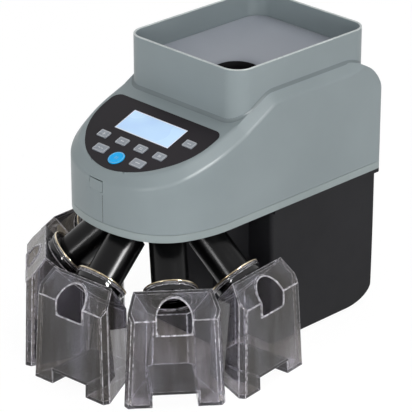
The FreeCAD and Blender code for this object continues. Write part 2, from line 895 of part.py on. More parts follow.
def keypad_board():
    margin_x, margin_v = module_margin
    board = panel_block(board_margin, board_top - board_thickness, board_top)
    margins = (margin_x + module_gap, margin_v + module_gap)
    hole = window_block(*margins, board_top - overrun, board_top + overrun)
    board = board.cut(hole)
    for x, v in panel_screw_places:
        board = board.cut(post(screw_radius + seat_gap, board_top - overrun, board_top + overrun, x, v))
    for index in range(key_count):
        x, v = key_place(index)
        switch = post(key_stem_radius, board_top, board_top + switch_height, x, v)
        board = board.fuse(switch)
    return on_console(board.removeSplitter())


def panel_screws():
    screws = []
    for x, v in panel_screw_places:
        screws.append(screw(x, v, board_top - board_thickness, False, panel_screw_length))
    return on_console(Part.makeCompound(screws))


def key(index):
    x, v = key_place(index)
    flange_top = -panel_recess - key_flange_gap
    flange_foot = flange_top - key_flange_thickness
    stem_foot = board_top + switch_height + key_travel + key_flange_gap
    cap = key_prism(index, flange_foot, panel_thickness - panel_recess + key_proud)
    flange = key_prism(index, flange_foot, flange_top, key_flange)
    stem = post(key_stem_radius, stem_foot, flange_top, x, v)
    return on_console(fuse([cap, flange, stem]))


# Latch


def latch_button():
    x = latch_centre_x
    z = latch_centre_height
    body = cover_body(0.0, cover_bottom).common(latch_block(0.0, nose_y - overrun, arm_back))
    inside = cover_body(wall + key_flange_gap, cover_bottom)
    rim = inside.common(latch_block(latch_rim, nose_y, arm_back))
    half = latch_arm_width / 2
    arm = block(x - half, x + half, arm_front, arm_back, hook_foot, z)
    hook = block(x - half, x + half, hook_front, arm_front, hook_foot, hook_foot + latch_nose_height)
    return fuse([body, rim, arm, hook])


def latch_keeper():
    x = latch_centre_x
    half = keeper_width / 2
    top = deck_top + keeper_height
    plate = block(x - half, x + half, keeper_front, keeper_back, deck_top, top)
    lip = block(x - half, x + half, keeper_back, keeper_back + keeper_lip, top - keeper_thickness, top)
    return fuse([plate, lip])


# Deck and sorting works


def deck_tray():
    tray = casing_block(0.0, deck_height, rim_top)
    tray = tray.cut(casing_block(wall, deck_top, rim_top + overrun))
    tray = tray.cut(post(housing_radius + seat_gap, deck_height - overrun, deck_top + overrun, 0, axis_y))
    for index in range(cup_count):
        hole = post(drop_hole_radius, deck_height - overrun, deck_top + overrun, 0, axis_y - pocket_circle)
        tray = tray.cut(around_axis(hole, cup_azimuth(index)))
    for x, y in deck_screw_places + bracket_screw_places:
        tray = tray.cut(post(screw_radius + seat_gap, deck_height - overrun, deck_top + overrun, x, y))
    return tray


def deck_screws():
    places = deck_screw_places
    return Part.makeCompound([screw(x, y, deck_top, True, screw_length) for x, y in places])


def bracket_screws():
    seat = deck_height - bracket_thickness
    places = bracket_screw_places
    return Part.makeCompound([screw(x, y, seat, False, bracket_screw_length) for x, y in places])


def sorting_plate():
    plate = ring(rail_inner + rail_wall, sorting_plate_hole, deck_top, plate_top, 0, axis_y)
    for index, radius in enumerate(graded_hole_radii):
        hole = post(radius, deck_top - overrun, plate_top + overrun, 0, axis_y - pocket_circle)
        plate = plate.cut(around_axis(hole, cup_azimuth(index)))
    return plate


def guide_rail():
    return ring(rail_inner + rail_wall, rail_inner, plate_top, rail_top, 0, axis_y)


def coin_sensors():
    width, length, height = sensor_size
    reach = rail_inner + rail_wall / 2
    sensors = []
    for index in range(cup_count):
        sensor = block(
            -length / 2,
            length / 2,
            axis_y - reach - width / 2,
            axis_y - reach + width / 2,
            rail_top,
            rail_top + height,
        )
        sensors.append(around_axis(sensor, cup_azimuth(index) + sensor_turn))
    return Part.makeCompound(sensors)


def feed_disc():
    disc = post(disc_radius, disc_bottom, disc_top, 0, axis_y)
    for index in range(pocket_count):
        pocket = post(pocket_radius, disc_bottom - overrun, disc_top + overrun, 0, axis_y - pocket_circle)
        disc = disc.cut(around_axis(pocket, index * 360 / pocket_count))
    recess_radius = pocket_circle - pocket_radius - housing_wall
    disc = disc.cut(post(recess_radius, disc_bottom - overrun, disc_top - disc_web, 0, axis_y))
    disc = disc.fuse(post(disc_hub_radius, disc_top - disc_web, disc_top + disc_hub_height, 0, axis_y))
    return disc.cut(post(spindle_radius + seat_gap, disc_bottom, hub_top + overrun, 0, axis_y))


def spindle():
    return post(spindle_radius, pulley_foot, nut_top, 0, axis_y)


def disc_nut():
    nut = hexagon(nut_radius, hub_top, hub_top + nut_height, 0, axis_y)
    return nut.cut(post(spindle_radius + seat_gap, hub_top - overrun, nut_top + overrun, 0, axis_y))


def bearing_housing():
    top = upper_bearing_foot + bearing_width
    body = post(housing_radius, housing_foot, top, 0, axis_y)
    flange = post(housing_radius + housing_flange, deck_top, deck_top + housing_flange_thickness, 0, axis_y)
    body = body.fuse(flange)
    body = body.cut(post(bearing_radius + seat_gap, lower_bearing_foot, top + overrun, 0, axis_y))
    return body.cut(post(bearing_radius - bearing_lip, housing_foot - overrun, top, 0, axis_y))


def spindle_bearings():
    bore = spindle_radius + running_fit
    lower = ring(bearing_radius, bore, lower_bearing_foot, lower_bearing_foot + bearing_width, 0, axis_y)
    upper = ring(bearing_radius, bore, upper_bearing_foot, upper_bearing_foot + bearing_width, 0, axis_y)
    return Part.makeCompound([lower, upper])


def pulley(radius, bore, y):
    top = pulley_foot + pulley_width
    body = post(radius, pulley_foot, top, 0, y)
    low = post(radius + pulley_flange, pulley_foot, pulley_foot + pulley_flange_thickness, 0, y)
    high = post(radius + pulley_flange, top - pulley_flange_thickness, top, 0, y)
    return fuse([body, low, high]).cut(post(bore, pulley_foot - overrun, top + overrun, 0, y))


def belt_face(offset, z):
    # The loop round both pulleys, offset from their faces.
    big = pulley_radius + offset
    small = motor_pulley_radius + offset
    lean = math.asin((pulley_radius - motor_pulley_radius) / motor_reach)

    def spot(radius, y, side):
        return V(side * radius * math.cos(lean), y + radius * math.sin(lean), z)

    back = Part.Arc(spot(small, motor_y, 1), V(0, motor_y + small, z), spot(small, motor_y, -1))
    front = Part.Arc(spot(big, axis_y, -1), V(0, axis_y - big, z), spot(big, axis_y, 1))
    right = Part.LineSegment(spot(big, axis_y, 1), spot(small, motor_y, 1))
    left = Part.LineSegment(spot(small, motor_y, -1), spot(big, axis_y, -1))
    return Part.Face(Part.Wire([right.toShape(), back.toShape(), left.toShape(), front.toShape()]))


def drive_belt():
    foot = pulley_foot + (pulley_width - belt_width) / 2
    outer = belt_face(belt_gap + belt_thickness, foot).extrude(V(0, 0, belt_width))
    return outer.cut(belt_face(belt_gap, foot - overrun).extrude(V(0, 0, belt_width + 2 * overrun)))


def gear_motor():
    gearbox = post(motor_radius, bracket_foot - gearbox_length, bracket_foot, 0, motor_y)
    can = post(motor_can_radius, bracket_foot - motor_length, bracket_foot - gearbox_length, 0, motor_y)
    collar = post(motor_boss_radius, bracket_foot, bracket_foot + motor_boss_height, 0, motor_y)
    body = fuse([gearbox, can, collar])
    bore_foot = bracket_foot + motor_boss_height - motor_shaft_depth
    bore = post(motor_shaft_radius + running_fit, bore_foot, pulley_foot, 0, motor_y)
    body = body.cut(bore)
    for x, y in motor_screw_places:
        body = body.cut(post(screw_radius + seat_gap, bracket_foot - screw_length, bracket_foot, x, y))
    return body


def motor_shaft():
    foot = bracket_foot + motor_boss_height - motor_shaft_depth + play
    return post(motor_shaft_radius, foot, pulley_foot + pulley_width, 0, motor_y)


def motor_bracket():
    half = bracket_width / 2
    front = motor_y - bracket_length / 2
    back = motor_y + bracket_length / 2
    plate = block(-half, half, front, back, bracket_foot, bracket_foot + bracket_thickness)
    pieces = [plate]
    for side in (-1, 1):
        inner = side * (half - bracket_thickness)
        leg = block(
            min(side * half, inner), max(side * half, inner), front, back, bracket_foot, deck_height
        )
        outer = side * (half + bracket_flange)
        ear = block(
            min(inner, outer),
            max(inner, outer),
            front,
            back,
            deck_height - bracket_thickness,
            deck_height,
        )
        pieces += [leg, ear]
    bracket = fuse(pieces)
    low = bracket_foot - overrun
    bracket = bracket.cut(post(motor_boss_radius + seat_gap, low, pulley_foot, 0, motor_y))
    for x, y in motor_screw_places:
        bracket = bracket.cut(post(screw_radius + seat_gap, low, pulley_foot, x, y))
    for x, y in bracket_screw_places:
        bracket = bracket.cut(post(screw_radius + seat_gap, pulley_foot, deck_height + overrun, x, y))
    return bracket


def motor_screws():
    top = bracket_foot + bracket_thickness
    return Part.makeCompound([screw(x, y, top, True, screw_length) for x, y in motor_screw_places])


# Tubes and chutes


def tube_axis_point(along):
    # A point on the front tube's axis, measured from the collar's outer face, up the tube.
    reach = collar_face_reach - along * math.sin(tilt)
    height = collar_face_height + along * math.cos(tilt)
    return V(0, axis_y - reach, height)


def along_tube(radius, start, end):
    direction = V(0, math.sin(tilt), math.cos(tilt))
    return Part.makeCylinder(radius, end - start, tube_axis_point(start), direction)


def coin_tube(index):
    outer = along_tube(tube_radius, -tube_insert, tube_length)
    inner = along_tube(tube_radius - tube_wall, -tube_insert - overrun, tube_length + overrun)
    return around_axis(outer.cut(inner), cup_azimuth(index))


def chute_manifold():
    top = deck_height - seat_gap
    foot = deck_height - manifold_drop
    corners = [
        V(manifold_core, axis_y, top),
        V(manifold_radius, axis_y, top),
        V(manifold_radius, axis_y, top - manifold_edge),
        V(manifold_foot_radius, axis_y, foot),
        V(manifold_core, axis_y, foot),
    ]
    section = Part.Face(Part.makePolygon(corners + corners[:1]))
    section.translate(V(0, -axis_y, 0))
    body = section.revolve(V(0, 0, 0), V(0, 0, 1), 360)
    body.translate(V(0, axis_y, 0))
    back_y = axis_y + manifold_back_reach
    body = body.cut(block(-2 * manifold_radius, 2 * manifold_radius, back_y, rear_y, 0, overall_height))
    slot = manifold_core
    body = body.cut(block(-slot, slot, axis_y, rear_y, foot - overrun, top + overrun))
    for index in range(cup_count):
        socket = along_tube(tube_radius + seat_gap, 0.0, tube_length + seat_gap)
        drop = post(drop_hole_radius, tube_top_height, top + overrun, 0, axis_y - pocket_circle)
        throat = along_tube(tube_radius - tube_wall, tube_length - overrun, tube_length + throat_length)
        throat = throat.common(post(2 * manifold_radius, 0, top + overrun, 0, axis_y))
        body = body.cut(around_axis(fuse([socket, throat, drop]), cup_azimuth(index)))
    return body


# Coin cups


def cup_half_at(reach, height):
    # Half the cup's width on its leaning, wedge-shaped side walls.
    return cup_foot_half + cup_narrowing * (reach - cup_foot_reach) + cup_leaning * (height - cup_lift)


def cup_front_at(height):
    return cup_foot_reach - cup_front_lean * (height - cup_lift) / cup_rise


def cup_plan(height, inset):
    # The cup's outline at one height, corners broken.
    front = cup_front_at(height) - inset
    back = cup_back_reach + inset
    squeeze = inset * side_factor
    c = cup_corner
    b = cup_back_corner
    front_half = cup_half_at(front, height) - squeeze
    back_half = cup_half_at(back, height) - squeeze
    inner_front = cup_half_at(front - c, height) - squeeze
    inner_back = cup_half_at(back + b, height) - squeeze
    right = [
        (front, front_half - c),
        (front - c, inner_front),
        (back + b, inner_back),
        (back, back_half - b),
    ]
    spots = [V(t, axis_y - reach, height) for reach, t in right]
    spots += [V(-t, axis_y - reach, height) for reach, t in reversed(right)]
    return Part.makePolygon(spots + spots[:1])


def cup_solid(inset, foot):
    # A leaning wedge with a ridged roof.
    top = cup_ridge_height + cup_wall
    body = Part.makeLoft([cup_plan(foot, inset), cup_plan(top, inset)], True, True)
    back = cup_back_reach - cup_wall
    front = cup_foot_reach + cup_wall
    ridge_reach = cup_ridge_reach + inset * (back_factor - front_factor) / (back_slope + front_slope)
    roof_points = [
        (back, foot - cup_wall),
        (back, roof_back_height(back, inset)),
        (ridge_reach, roof_back_height(ridge_reach, inset)),
        (front, roof_front_height(front, inset)),
        (front, foot - cup_wall),
    ]
    half = 2 * cup_foot_half
    corners = [V(-half, axis_y - reach, z) for reach, z in roof_points]
    roof = Part.Face(Part.makePolygon(corners + corners[:1])).extrude(V(2 * half, 0, 0))
    return body.common(roof)


def roof_back_height(reach, inset):
    return cup_ridge_height - (cup_ridge_reach - reach) * back_slope - inset * back_factor


def roof_front_height(reach, inset):
    return cup_ridge_height - (reach - cup_ridge_reach) * front_slope - inset * front_factor


def notch_prism():
    # The finger notch: upright sides, flat foot and an arched top, cut straight in.
    half = notch_half
    start = axis_y - cup_foot_reach - cup_wall
    points = [V(-half, start, notch_spring), V(-half, start, notch_bottom)]
    points += [V(half, start, notch_bottom), V(half, start, notch_spring)]
    edges = [Part.LineSegment(a, b).toShape() for a, b in zip(points, points[1:])]
    edges.append(Part.Arc(points[-1], V(0, start, notch_top), points[0]).toShape())
    face = Part.Face(Part.Wire(edges))
    return face.extrude(V(0, cup_foot_reach + cup_wall - notch_depth_reach, 0))


def cup_tunnel(margin, reach_margin):
    half = tunnel_half + margin
    top = cup_lift + tunnel_height + margin
    front = axis_y - cup_foot_reach - reach_margin
    back = axis_y - cup_back_reach + reach_margin
    return block(-half, half, front, back, cup_lift - cup_wall, top)


def coin_cup(index):
    outer = cup_solid(0.0, cup_lift)
    collar = along_tube(collar_neck_radius, -collar_height - cup_wall, 0.0)
    flange = along_tube(collar_radius, -collar_flange, 0.0)
    cavity = cup_solid(cup_wall, cup_lift + cup_floor).cut(cup_tunnel(cup_wall, cup_wall))
    bore = along_tube(collar_bore, -collar_height - cup_wall - overrun, overrun)
    neck = collar.cut(cup_solid(0.0, cup_lift))
    cup = outer.fuse(neck).fuse(flange)
    cup = cup.cut(cavity).cut(bore).cut(cup_tunnel(0.0, cup_wall)).cut(notch_prism())
    return around_axis(cup.removeSplitter(), cup_azimuth(index))


# Base


def base_box(inset, top):
    # The box under the back of the casing, with a leaning back and a rounded lower edge.
    half = base_half_width - inset
    front = axis_y + box_front_reach + inset
    foot = foot_height
    lean = base_draft / (base_top - foot_height)
    rear_top = rear_y - base_inset - inset
    rear_low = rear_top - lean * (base_top - foot - base_round_height)
    ellipse = Part.Ellipse(V(0, 0, 0), base_round_length - inset, base_round_height - inset)
    low = foot + inset
    centre_y = rear_low - (base_round_length - inset)
    centre_z = foot + base_round_height
    arc = ellipse.toShape(1.5 * math.pi, 2 * math.pi)
    arc.rotate(V(0, 0, 0), V(1, 0, 0), 90)
    arc.rotate(V(0, 0, 0), V(0, 0, 1), 90)
    arc.translate(V(-half, centre_y, centre_z))
    points = [
        V(-half, rear_low, centre_z),
        V(-half, rear_top, base_top),
        V(-half, rear_top, top),
        V(-half, front, top),
        V(-half, front, low),
        V(-half, centre_y, low),
    ]
    if top == base_top:
        points.pop(2)
    edges = [Part.LineSegment(a, b).toShape() for a, b in zip(points, points[1:])]
    side = Part.Face(Part.Wire(Part.__sortEdges__(edges + [arc])))
    body = side.extrude(V(2 * half, 0, 0))
    plan = rounded_block(-half, half, front, rear_top, foot - overrun, top + overrun, base_corner)
    return body.common(plan)


def pedestal_block(inset, z0, z1):
    half = pedestal_half_width - inset
    front = axis_y + pedestal_front_reach + inset
    back = axis_y + box_front_reach + wall + overrun
    c = pedestal_corner
    spots = [
        V(-half, back, z0),
        V(-half, front + c, z0),
        V(c - half, front, z0),
        V(half - c, front, z0),
        V(half, front + c, z0),
        V(half, back, z0),
    ]
    return Part.Face(Part.makePolygon(spots + spots[:1])).extrude(V(0, 0, z1 - z0))


def boss(x, y, z0, z1):
    return post(boss_radius, z0, z1, x, y)


def base_housing():
    body = fuse(
        [
            base_box(0.0, base_top),
            pedestal_block(0.0, foot_height, base_top),
            casing_block(0.0, base_top - base_top_lip, base_top).common(
                block(
                    -cover_half_width,
                    cover_half_width,
                    axis_y + box_front_reach,
                    rear_y,
                    foot_height,
                    base_top,
                )
            ),
        ]
    )
    low = foot_height - overrun
    hollow = base_box(wall, base_top + overrun).fuse(pedestal_block(wall, low, base_top + overrun))
    body = body.cut(hollow).cut(base_floor(0.0, low, foot_height + wall + overrun))
    for x, y in deck_screw_places:
        body = body.fuse(boss(x, y, base_top - boss_length, base_top))
    for x, y in base_screw_places:
        body = body.fuse(boss(x, y, shell_floor, shell_floor + boss_length))
    for x, y in deck_screw_places:
        body = body.cut(post(screw_radius + seat_gap, base_top - screw_length, base_top + overrun, x, y))
    for x, y in base_screw_places:
        body = body.cut(post(screw_radius + seat_gap, foot_height, shell_floor + screw_length, x, y))
    slot = pulley_radius + pulley_flange + belt_way_clear
    front = axis_y + pedestal_front_reach
    belt_way = block(-slot, slot, front - overrun, front + wall + overrun, bracket_foot, base_top + overrun)
    body = body.cut(belt_way)
    body = body.cut(inlet_block(seat_gap, rear_y - inlet_depth, rear_y + overrun))
    return body.cut(switch_block(switch_wall + seat_gap, rear_y - switch_depth, rear_y + overrun))


def base_floor(inset, z0, z1):
    # The flat part of the underside, inside the walls.
    half = base_half_width - wall - inset
    front = axis_y + box_front_reach + wall + inset
    back = floor_end - inset
    flat = block(-half, half, front, back, z0, z1)
    return flat.fuse(pedestal_block(wall + inset, z0, z1)).removeSplitter()


def base_plate():
    plate = base_floor(seat_gap, foot_height, shell_floor)
    for x, y in board_post_places:
        plate = plate.fuse(post(board_post_radius, foot_height, shell_floor + board_lift, x, y))
    for x, y in base_screw_places:
        plate = plate.cut(post(screw_radius + seat_gap, foot_height - overrun, shell_floor + overrun, x, y))
    return plate


def base_screws():
    places = base_screw_places
    return Part.makeCompound([screw(x, y, foot_height, False, screw_length) for x, y in places])


def rubber_feet():
    return Part.makeCompound([post(foot_radius, 0.0, foot_height, x, y) for x, y in foot_places])


def main_board():
    width, length, thickness = main_board_size
    x, reach = main_board_place
    y = axis_y + reach
    foot = shell_floor + board_lift
    board = block(x - width / 2, x + width / 2, y - length / 2, y + length / 2, foot, foot + thickness)
    top = foot + thickness
    half_x = chip_size[0] / 2
    half_y = chip_size[1] / 2
    chip = block(x - half_x, x + half_x, y - half_y, y + half_y, top, top + chip_size[2])
    return board.fuse(chip).removeSplitter()


def power_supply():
    width, length, height = power_supply_size
    x, reach = power_supply_place
    y = axis_y + reach
    top = shell_floor + height
    half = vent_length / 2
    case = block(x - width / 2, x + width / 2, y - length / 2, y + length / 2, shell_floor, top)
    for index in range(vent_count):
        start = y + (index - (vent_count - 1) / 2) * vent_pitch
        end = start + vent_width
        case = case.cut(block(x - half, x + half, start, end, top - vent_depth, top + overrun))
    return case


def inlet_block(margin, y0, y1):
    half_x = inlet_size[0] / 2 + margin
    half_z = inlet_size[1] / 2 + margin
    x, z = inlet_place
    return block(x - half_x, x + half_x, y0, y1, z - half_z, z + half_z)


def power_inlet():
    x, z = inlet_place
    seat = rear_wall_y(z + inlet_size[1] / 2 + inlet_rim)
    face = seat + inlet_flange
    body = inlet_block(0.0, face - inlet_depth, seat)
    flange = inlet_block(inlet_rim, seat, face)
    socket = inlet_block(-inlet_wall, face - socket_depth, face + overrun)
    body = body.fuse(flange).cut(socket)
    for dx, dz in inlet_pins:
        pin = block(
            x + dx - pin_width / 2,
            x + dx + pin_width / 2,
            face - socket_depth,
            face - socket_depth + pin_length,
            z + dz - pin_height / 2,
            z + dz + pin_height / 2,
        )
        body = body.fuse(pin)
    return body.removeSplitter()


def switch_block(margin, y0, y1):
    half_x = switch_opening[0] / 2 + margin
    half_z = switch_opening[1] / 2 + margin
    x, z = switch_place
    return block(x - half_x, x + half_x, y0, y1, z - half_z, z + half_z)


def rocker_frame():
    x, z = switch_place
    sleeve = switch_block(switch_wall, switch_face - switch_depth, switch_seat)
    bezel = switch_block(switch_rim, switch_seat, switch_face)
    body = sleeve.fuse(bezel)
    body = body.cut(switch_block(0.0, switch_face - switch_depth + switch_wall, switch_face + overrun))
    half = switch_opening[0] / 2 + switch_rim
    bore = x_post(rocker_pivot_radius + running_fit, x - half, x + half, rocker_y, z)
    return body.cut(bore).removeSplitter()


def rocker_switch():
    x, z = switch_place
    half_x = switch_opening[0] / 2 - play
    half_z = switch_opening[1] / 2 - rocker_margin
    rise = half_z * math.tan(math.radians(rocker_swing))
    outline = [
        (-rocker_back, -half_z / 2),
        (rocker_front + rise, -half_z),
        (rocker_front, 0.0),
        (rocker_front + rise, half_z),
        (-rocker_back, half_z / 2),
    ]
    points = [V(x - half_x, rocker_y + y, z + dz) for y, dz in outline]
    body = Part.Face(Part.makePolygon(points + points[:1])).extrude(V(2 * half_x, 0, 0))
    half = switch_opening[0] / 2 + switch_wall - seat_gap
    pin = x_post(rocker_pivot_radius, x - half, x + half, rocker_y, z)
    return body.fuse(pin).removeSplitter()


# Hinge


def hinge_brackets():
    shapes = []
    for side in (-1, 1):
        centre = side * hinge_spread
        for end in (-1, 1):
            inner = centre + end * (hinge_knuckle / 2 + play)
            outer = inner + end * hinge_knuckle / 2
            x0 = min(inner, outer)
            x1 = max(inner, outer)
            barrel = x_post(hinge_radius, x0, x1, hinge_y, hinge_z)
            arm = block(x0, x1, rear_y + hinge_leaf_gap, hinge_y + hinge_radius, hinge_foot, hinge_z)
            shapes.append(barrel.fuse(arm))
        half = hinge_knuckle + play
        back = rear_y + hinge_leaf_thickness
        shapes.append(block(centre - half, centre + half, rear_y, back, hinge_foot, rim_top))
    brackets = fuse(shapes)
    for side in (-1, 1):
        centre = side * hinge_spread
        reach = 2 * hinge_knuckle
        bore = x_post(hinge_pin_radius + running_fit, centre - reach, centre + reach, hinge_y, hinge_z)
        brackets = brackets.cut(bore)
        clear = hinge_knuckle / 2 + play
        front = rear_y + hinge_leaf_thickness
        back = hinge_y + hinge_radius + overrun
        brackets = brackets.cut(block(centre - clear, centre + clear, front, back, hinge_foot, hinge_z))
    return brackets


def hinge_pins():
    reach = hinge_knuckle + play
    pins = []
    for side in (-1, 1):
        centre = side * hinge_spread
        pin = x_post(hinge_pin_radius, centre - reach, centre + reach, hinge_y, hinge_z)
        head = x_post(hinge_head_radius, centre + reach, centre + reach + hinge_head, hinge_y, hinge_z)
        pins.append(pin.fuse(head))
    return Part.makeCompound(pins)


# Everything, by name

parts = {
    "base_housing": base_housing(),
    "base_plate": base_plate(),
    "rubber_feet": rubber_feet(),
    "base_screws": base_screws(),
    "deck_tray": deck_tray(),
    "deck_screws": deck_screws(),
    "chute_manifold": chute_manifold(),
    "sorting_plate": sorting_plate(),
    "guide_rail": guide_rail(),
    "coin_sensors": coin_sensors(),
    "bearing_housing": bearing_housing(),
    "spindle_bearings": spindle_bearings(),
    "gear_motor": gear_motor(),
    "motor_bracket": motor_bracket(),
    "motor_screws": motor_screws(),
    "bracket_screws": bracket_screws(),
    "drive_belt": drive_belt(),
    "main_board": main_board(),
    "power_supply": power_supply(),
    "power_inlet": power_inlet(),
    "rocker_frame": rocker_frame(),
    "rocker_switch": rocker_switch(),
    "hinge_brackets": hinge_brackets(),
    "hinge_pins": hinge_pins(),
    "latch_keeper": latch_keeper(),
    "feed_disc": feed_disc(),
    "spindle": spindle(),
    "spindle_pulley": pulley(pulley_radius, spindle_radius + seat_gap, axis_y),
    "disc_nut": disc_nut(),
    "motor_shaft": motor_shaft(),
    "motor_pulley": pulley(motor_pulley_radius, motor_shaft_radius + seat_gap, motor_y),
    "top_cover": top_cover(),
    "hopper_funnel": hopper_funnel(),
    "feed_chute": feed_chute(),
    "control_panel": control_panel(),
    "lcd_window": lcd_window(),
    "lcd_module": lcd_module(),
    "keypad_board": keypad_board(),
    "panel_screws": panel_screws(),
    "cover_knuckles": cover_knuckles(),
    "latch_button": latch_button(),
}
for index in range(key_count):
    parts[f"key_{index + 1}"] = key(index)
for index in range(cup_count):
    parts[f"coin_tube_{index + 1}"] = coin_tube(index)
    parts[f"coin_cup_{index + 1}"] = coin_cup(index)

os.makedirs("parts", exist_ok=True)
for name, shape in parts.items():
    shape.exportStep(f"parts/{name}.step")
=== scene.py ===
import json
import math

import bmesh
import bpy
from mathutils import Matrix, Vector

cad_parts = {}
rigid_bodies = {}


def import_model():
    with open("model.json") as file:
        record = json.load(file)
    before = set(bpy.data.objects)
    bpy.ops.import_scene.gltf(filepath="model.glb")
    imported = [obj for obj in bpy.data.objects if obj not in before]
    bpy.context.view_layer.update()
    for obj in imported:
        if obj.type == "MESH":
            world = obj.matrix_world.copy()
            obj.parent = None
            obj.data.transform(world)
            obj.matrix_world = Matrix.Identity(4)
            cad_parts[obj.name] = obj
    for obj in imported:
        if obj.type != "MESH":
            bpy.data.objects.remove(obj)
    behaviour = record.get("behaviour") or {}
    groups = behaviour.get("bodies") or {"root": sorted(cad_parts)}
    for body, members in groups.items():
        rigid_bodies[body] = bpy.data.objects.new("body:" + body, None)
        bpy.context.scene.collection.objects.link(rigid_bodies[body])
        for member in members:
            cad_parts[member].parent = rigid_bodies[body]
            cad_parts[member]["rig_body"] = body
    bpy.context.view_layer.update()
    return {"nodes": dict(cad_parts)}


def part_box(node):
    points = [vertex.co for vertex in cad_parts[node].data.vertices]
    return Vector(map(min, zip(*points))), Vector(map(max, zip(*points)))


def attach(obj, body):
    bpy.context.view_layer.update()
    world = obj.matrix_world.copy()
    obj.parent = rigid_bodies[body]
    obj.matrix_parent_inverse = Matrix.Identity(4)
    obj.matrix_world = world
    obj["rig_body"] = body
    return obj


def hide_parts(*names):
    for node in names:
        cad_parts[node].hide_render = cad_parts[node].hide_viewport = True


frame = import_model()
nodes = frame["nodes"]
print("coin sorter: frame loaded,", len(nodes), "nodes")

# The camera stands where the picture was taken from, front right and above.
cameraView = {"place": (1.62972, -1.58057, 1.16675), "turn": (65.6, 0.0, 45.6),
              "lens": 216.0, "sensor": 36.0, "farEnd": 30.0}
clearWallBounces = 28  # many clear walls stand one behind the other

bpy.ops.object.camera_add(location=cameraView["place"],
                          rotation=[math.radians(angle) for angle in cameraView["turn"]])
camera = bpy.context.object
camera.name = "productCamera"
camera.data.lens = cameraView["lens"]
camera.data.sensor_width = cameraView["sensor"]
camera.data.clip_end = cameraView["farEnd"]
bpy.context.scene.camera = camera
bpy.context.scene.view_settings.view_transform = "Standard"
bpy.context.scene.cycles.max_bounces = clearWallBounces
bpy.context.scene.cycles.transmission_bounces = clearWallBounces

# Softboxes light the object. The two strips only show in gloss, as stripes along the tubes.
lampPlan = {
    "rightSoftbox": {"place": (1.3, -0.6, 0.75), "target": (0.0, -0.1, 0.15),
                     "width": 0.25, "height": 0.6, "power": 2.4, "gloss": False},
    "frontSoftbox": {"place": (0.5, -1.95, 0.7), "target": (0.05, -0.05, 0.13),
                     "width": 0.22, "height": 0.9, "power": 4.0, "gloss": False},
    "cornerSoftbox": {"place": (1.1, -0.8, 0.4), "target": (0.05, -0.1, 0.12),
                      "width": 0.35, "height": 0.3, "power": 4.1, "gloss": False},
    "overheadSoftbox": {"place": (0.3, 0.6, 2.1), "target": (0.0, 0.0, 0.2),
                        "width": 1.2, "height": 1.2, "power": 9.5},
    "rightStrip": {"place": (1.72, -0.12, 0.93), "target": (0.0, -0.12, 0.12),
                   "width": 0.34, "height": 0.6, "power": 48.0, "diffuse": False},
    "frontStrip": {"place": (0.43, -1.85, 0.64), "target": (0.1, -0.05, 0.12),
                   "width": 0.2, "height": 0.6, "power": 9.0, "diffuse": False},
}


def aimedLamp(name, plan):
    bpy.ops.object.light_add(type="AREA", location=plan["place"])
    lamp = bpy.context.object
    lamp.name = name
    lamp.data.shape = "RECTANGLE"
    lamp.data.size = plan["width"]
    lamp.data.size_y = plan["height"]
    lamp.data.energy = plan["power"]
    aim = Vector(plan["target"]) - Vector(plan["place"])
    lamp.rotation_euler = aim.to_track_quat("-Z", "Y").to_euler()
    lamp.visible_diffuse = plan.get("diffuse", True)
    lamp.visible_glossy = plan.get("gloss", True)
    lamp.visible_transmission = False  # clear walls would show it as specks


for lampName, plan in lampPlan.items():
    aimedLamp(lampName, plan)
print("coin sorter: camera and lamps,", len(lampPlan))

noiseReach = (0.3, 0.7)  # most values of a noise pattern lie in between
toneReach = (0.35, 0.65)


def tone(red, green, blue):
    parts = [value / 255.0 for value in (red, green, blue)]
    linear = [part / 12.92 if part <= 0.04045 else ((part + 0.055) / 1.055) ** 2.4 for part in parts]
    return linear + [1.0]


def addNode(tree, kind, values=None):
    node = tree.nodes.new("ShaderNode" + kind)
    setInputs(node, values or {})
    return node


def setInputs(node, values):
    for name, value in values.items():
        node.inputs[name].default_value = value


def blankFinish(name):
    finish = bpy.data.materials.new(name)
    finish.use_nodes = True
    tree = finish.node_tree
    place = addNode(tree, "TexCoord")
    return finish, tree, tree.nodes["Principled BSDF"], place.outputs["Object"]


def noisePattern(tree, coordinates, size, detail=3.0, stretch=None):
    pattern = addNode(tree, "TexNoise", {"Scale": size, "Detail": detail})
    if stretch:
        mapping = addNode(tree, "Mapping", {"Scale": stretch})
        tree.links.new(coordinates, mapping.inputs["Vector"])
        coordinates = mapping.outputs["Vector"]
    tree.links.new(coordinates, pattern.inputs["Vector"])
    return pattern.outputs["Fac"]


def twoTones(tree, factor, look):
    ramp = addNode(tree, "ValToRGB")
    for step, position, name in zip(ramp.color_ramp.elements, toneReach, ("low", "high")):
        step.position = position
        step.color = tone(*look[name])
    tree.links.new(factor, ramp.inputs["Fac"])
    return ramp.outputs["Color"]


def spread(tree, factor, low, high):
    reach = addNode(tree, "MapRange", {"From Min": noiseReach[0], "From Max": noiseReach[1],
                                       "To Min": low, "To Max": high})
    tree.links.new(factor, reach.inputs["Value"])
    return reach.outputs["Result"]


def relief(tree, shader, height, look):
    bump = addNode(tree, "Bump", {"Strength": look["strength"], "Distance": look["depth"]})
    tree.links.new(height, bump.inputs["Height"])
    tree.links.new(bump.outputs["Normal"], shader.inputs["Normal"])


def blendShaders(tree, share, first, second, output):
    blend = addNode(tree, "MixShader")
    tree.links.new(share, blend.inputs["Fac"])
    tree.links.new(first, blend.inputs[1])
    tree.links.new(second, blend.inputs[2])
    tree.links.new(blend.outputs["Shader"], output.inputs["Surface"])


mouldedNoise = {"patchDetail": 4.0, "grainDetail": 2.0, "wearDetail": 5.0, "wearFiner": 4.0}


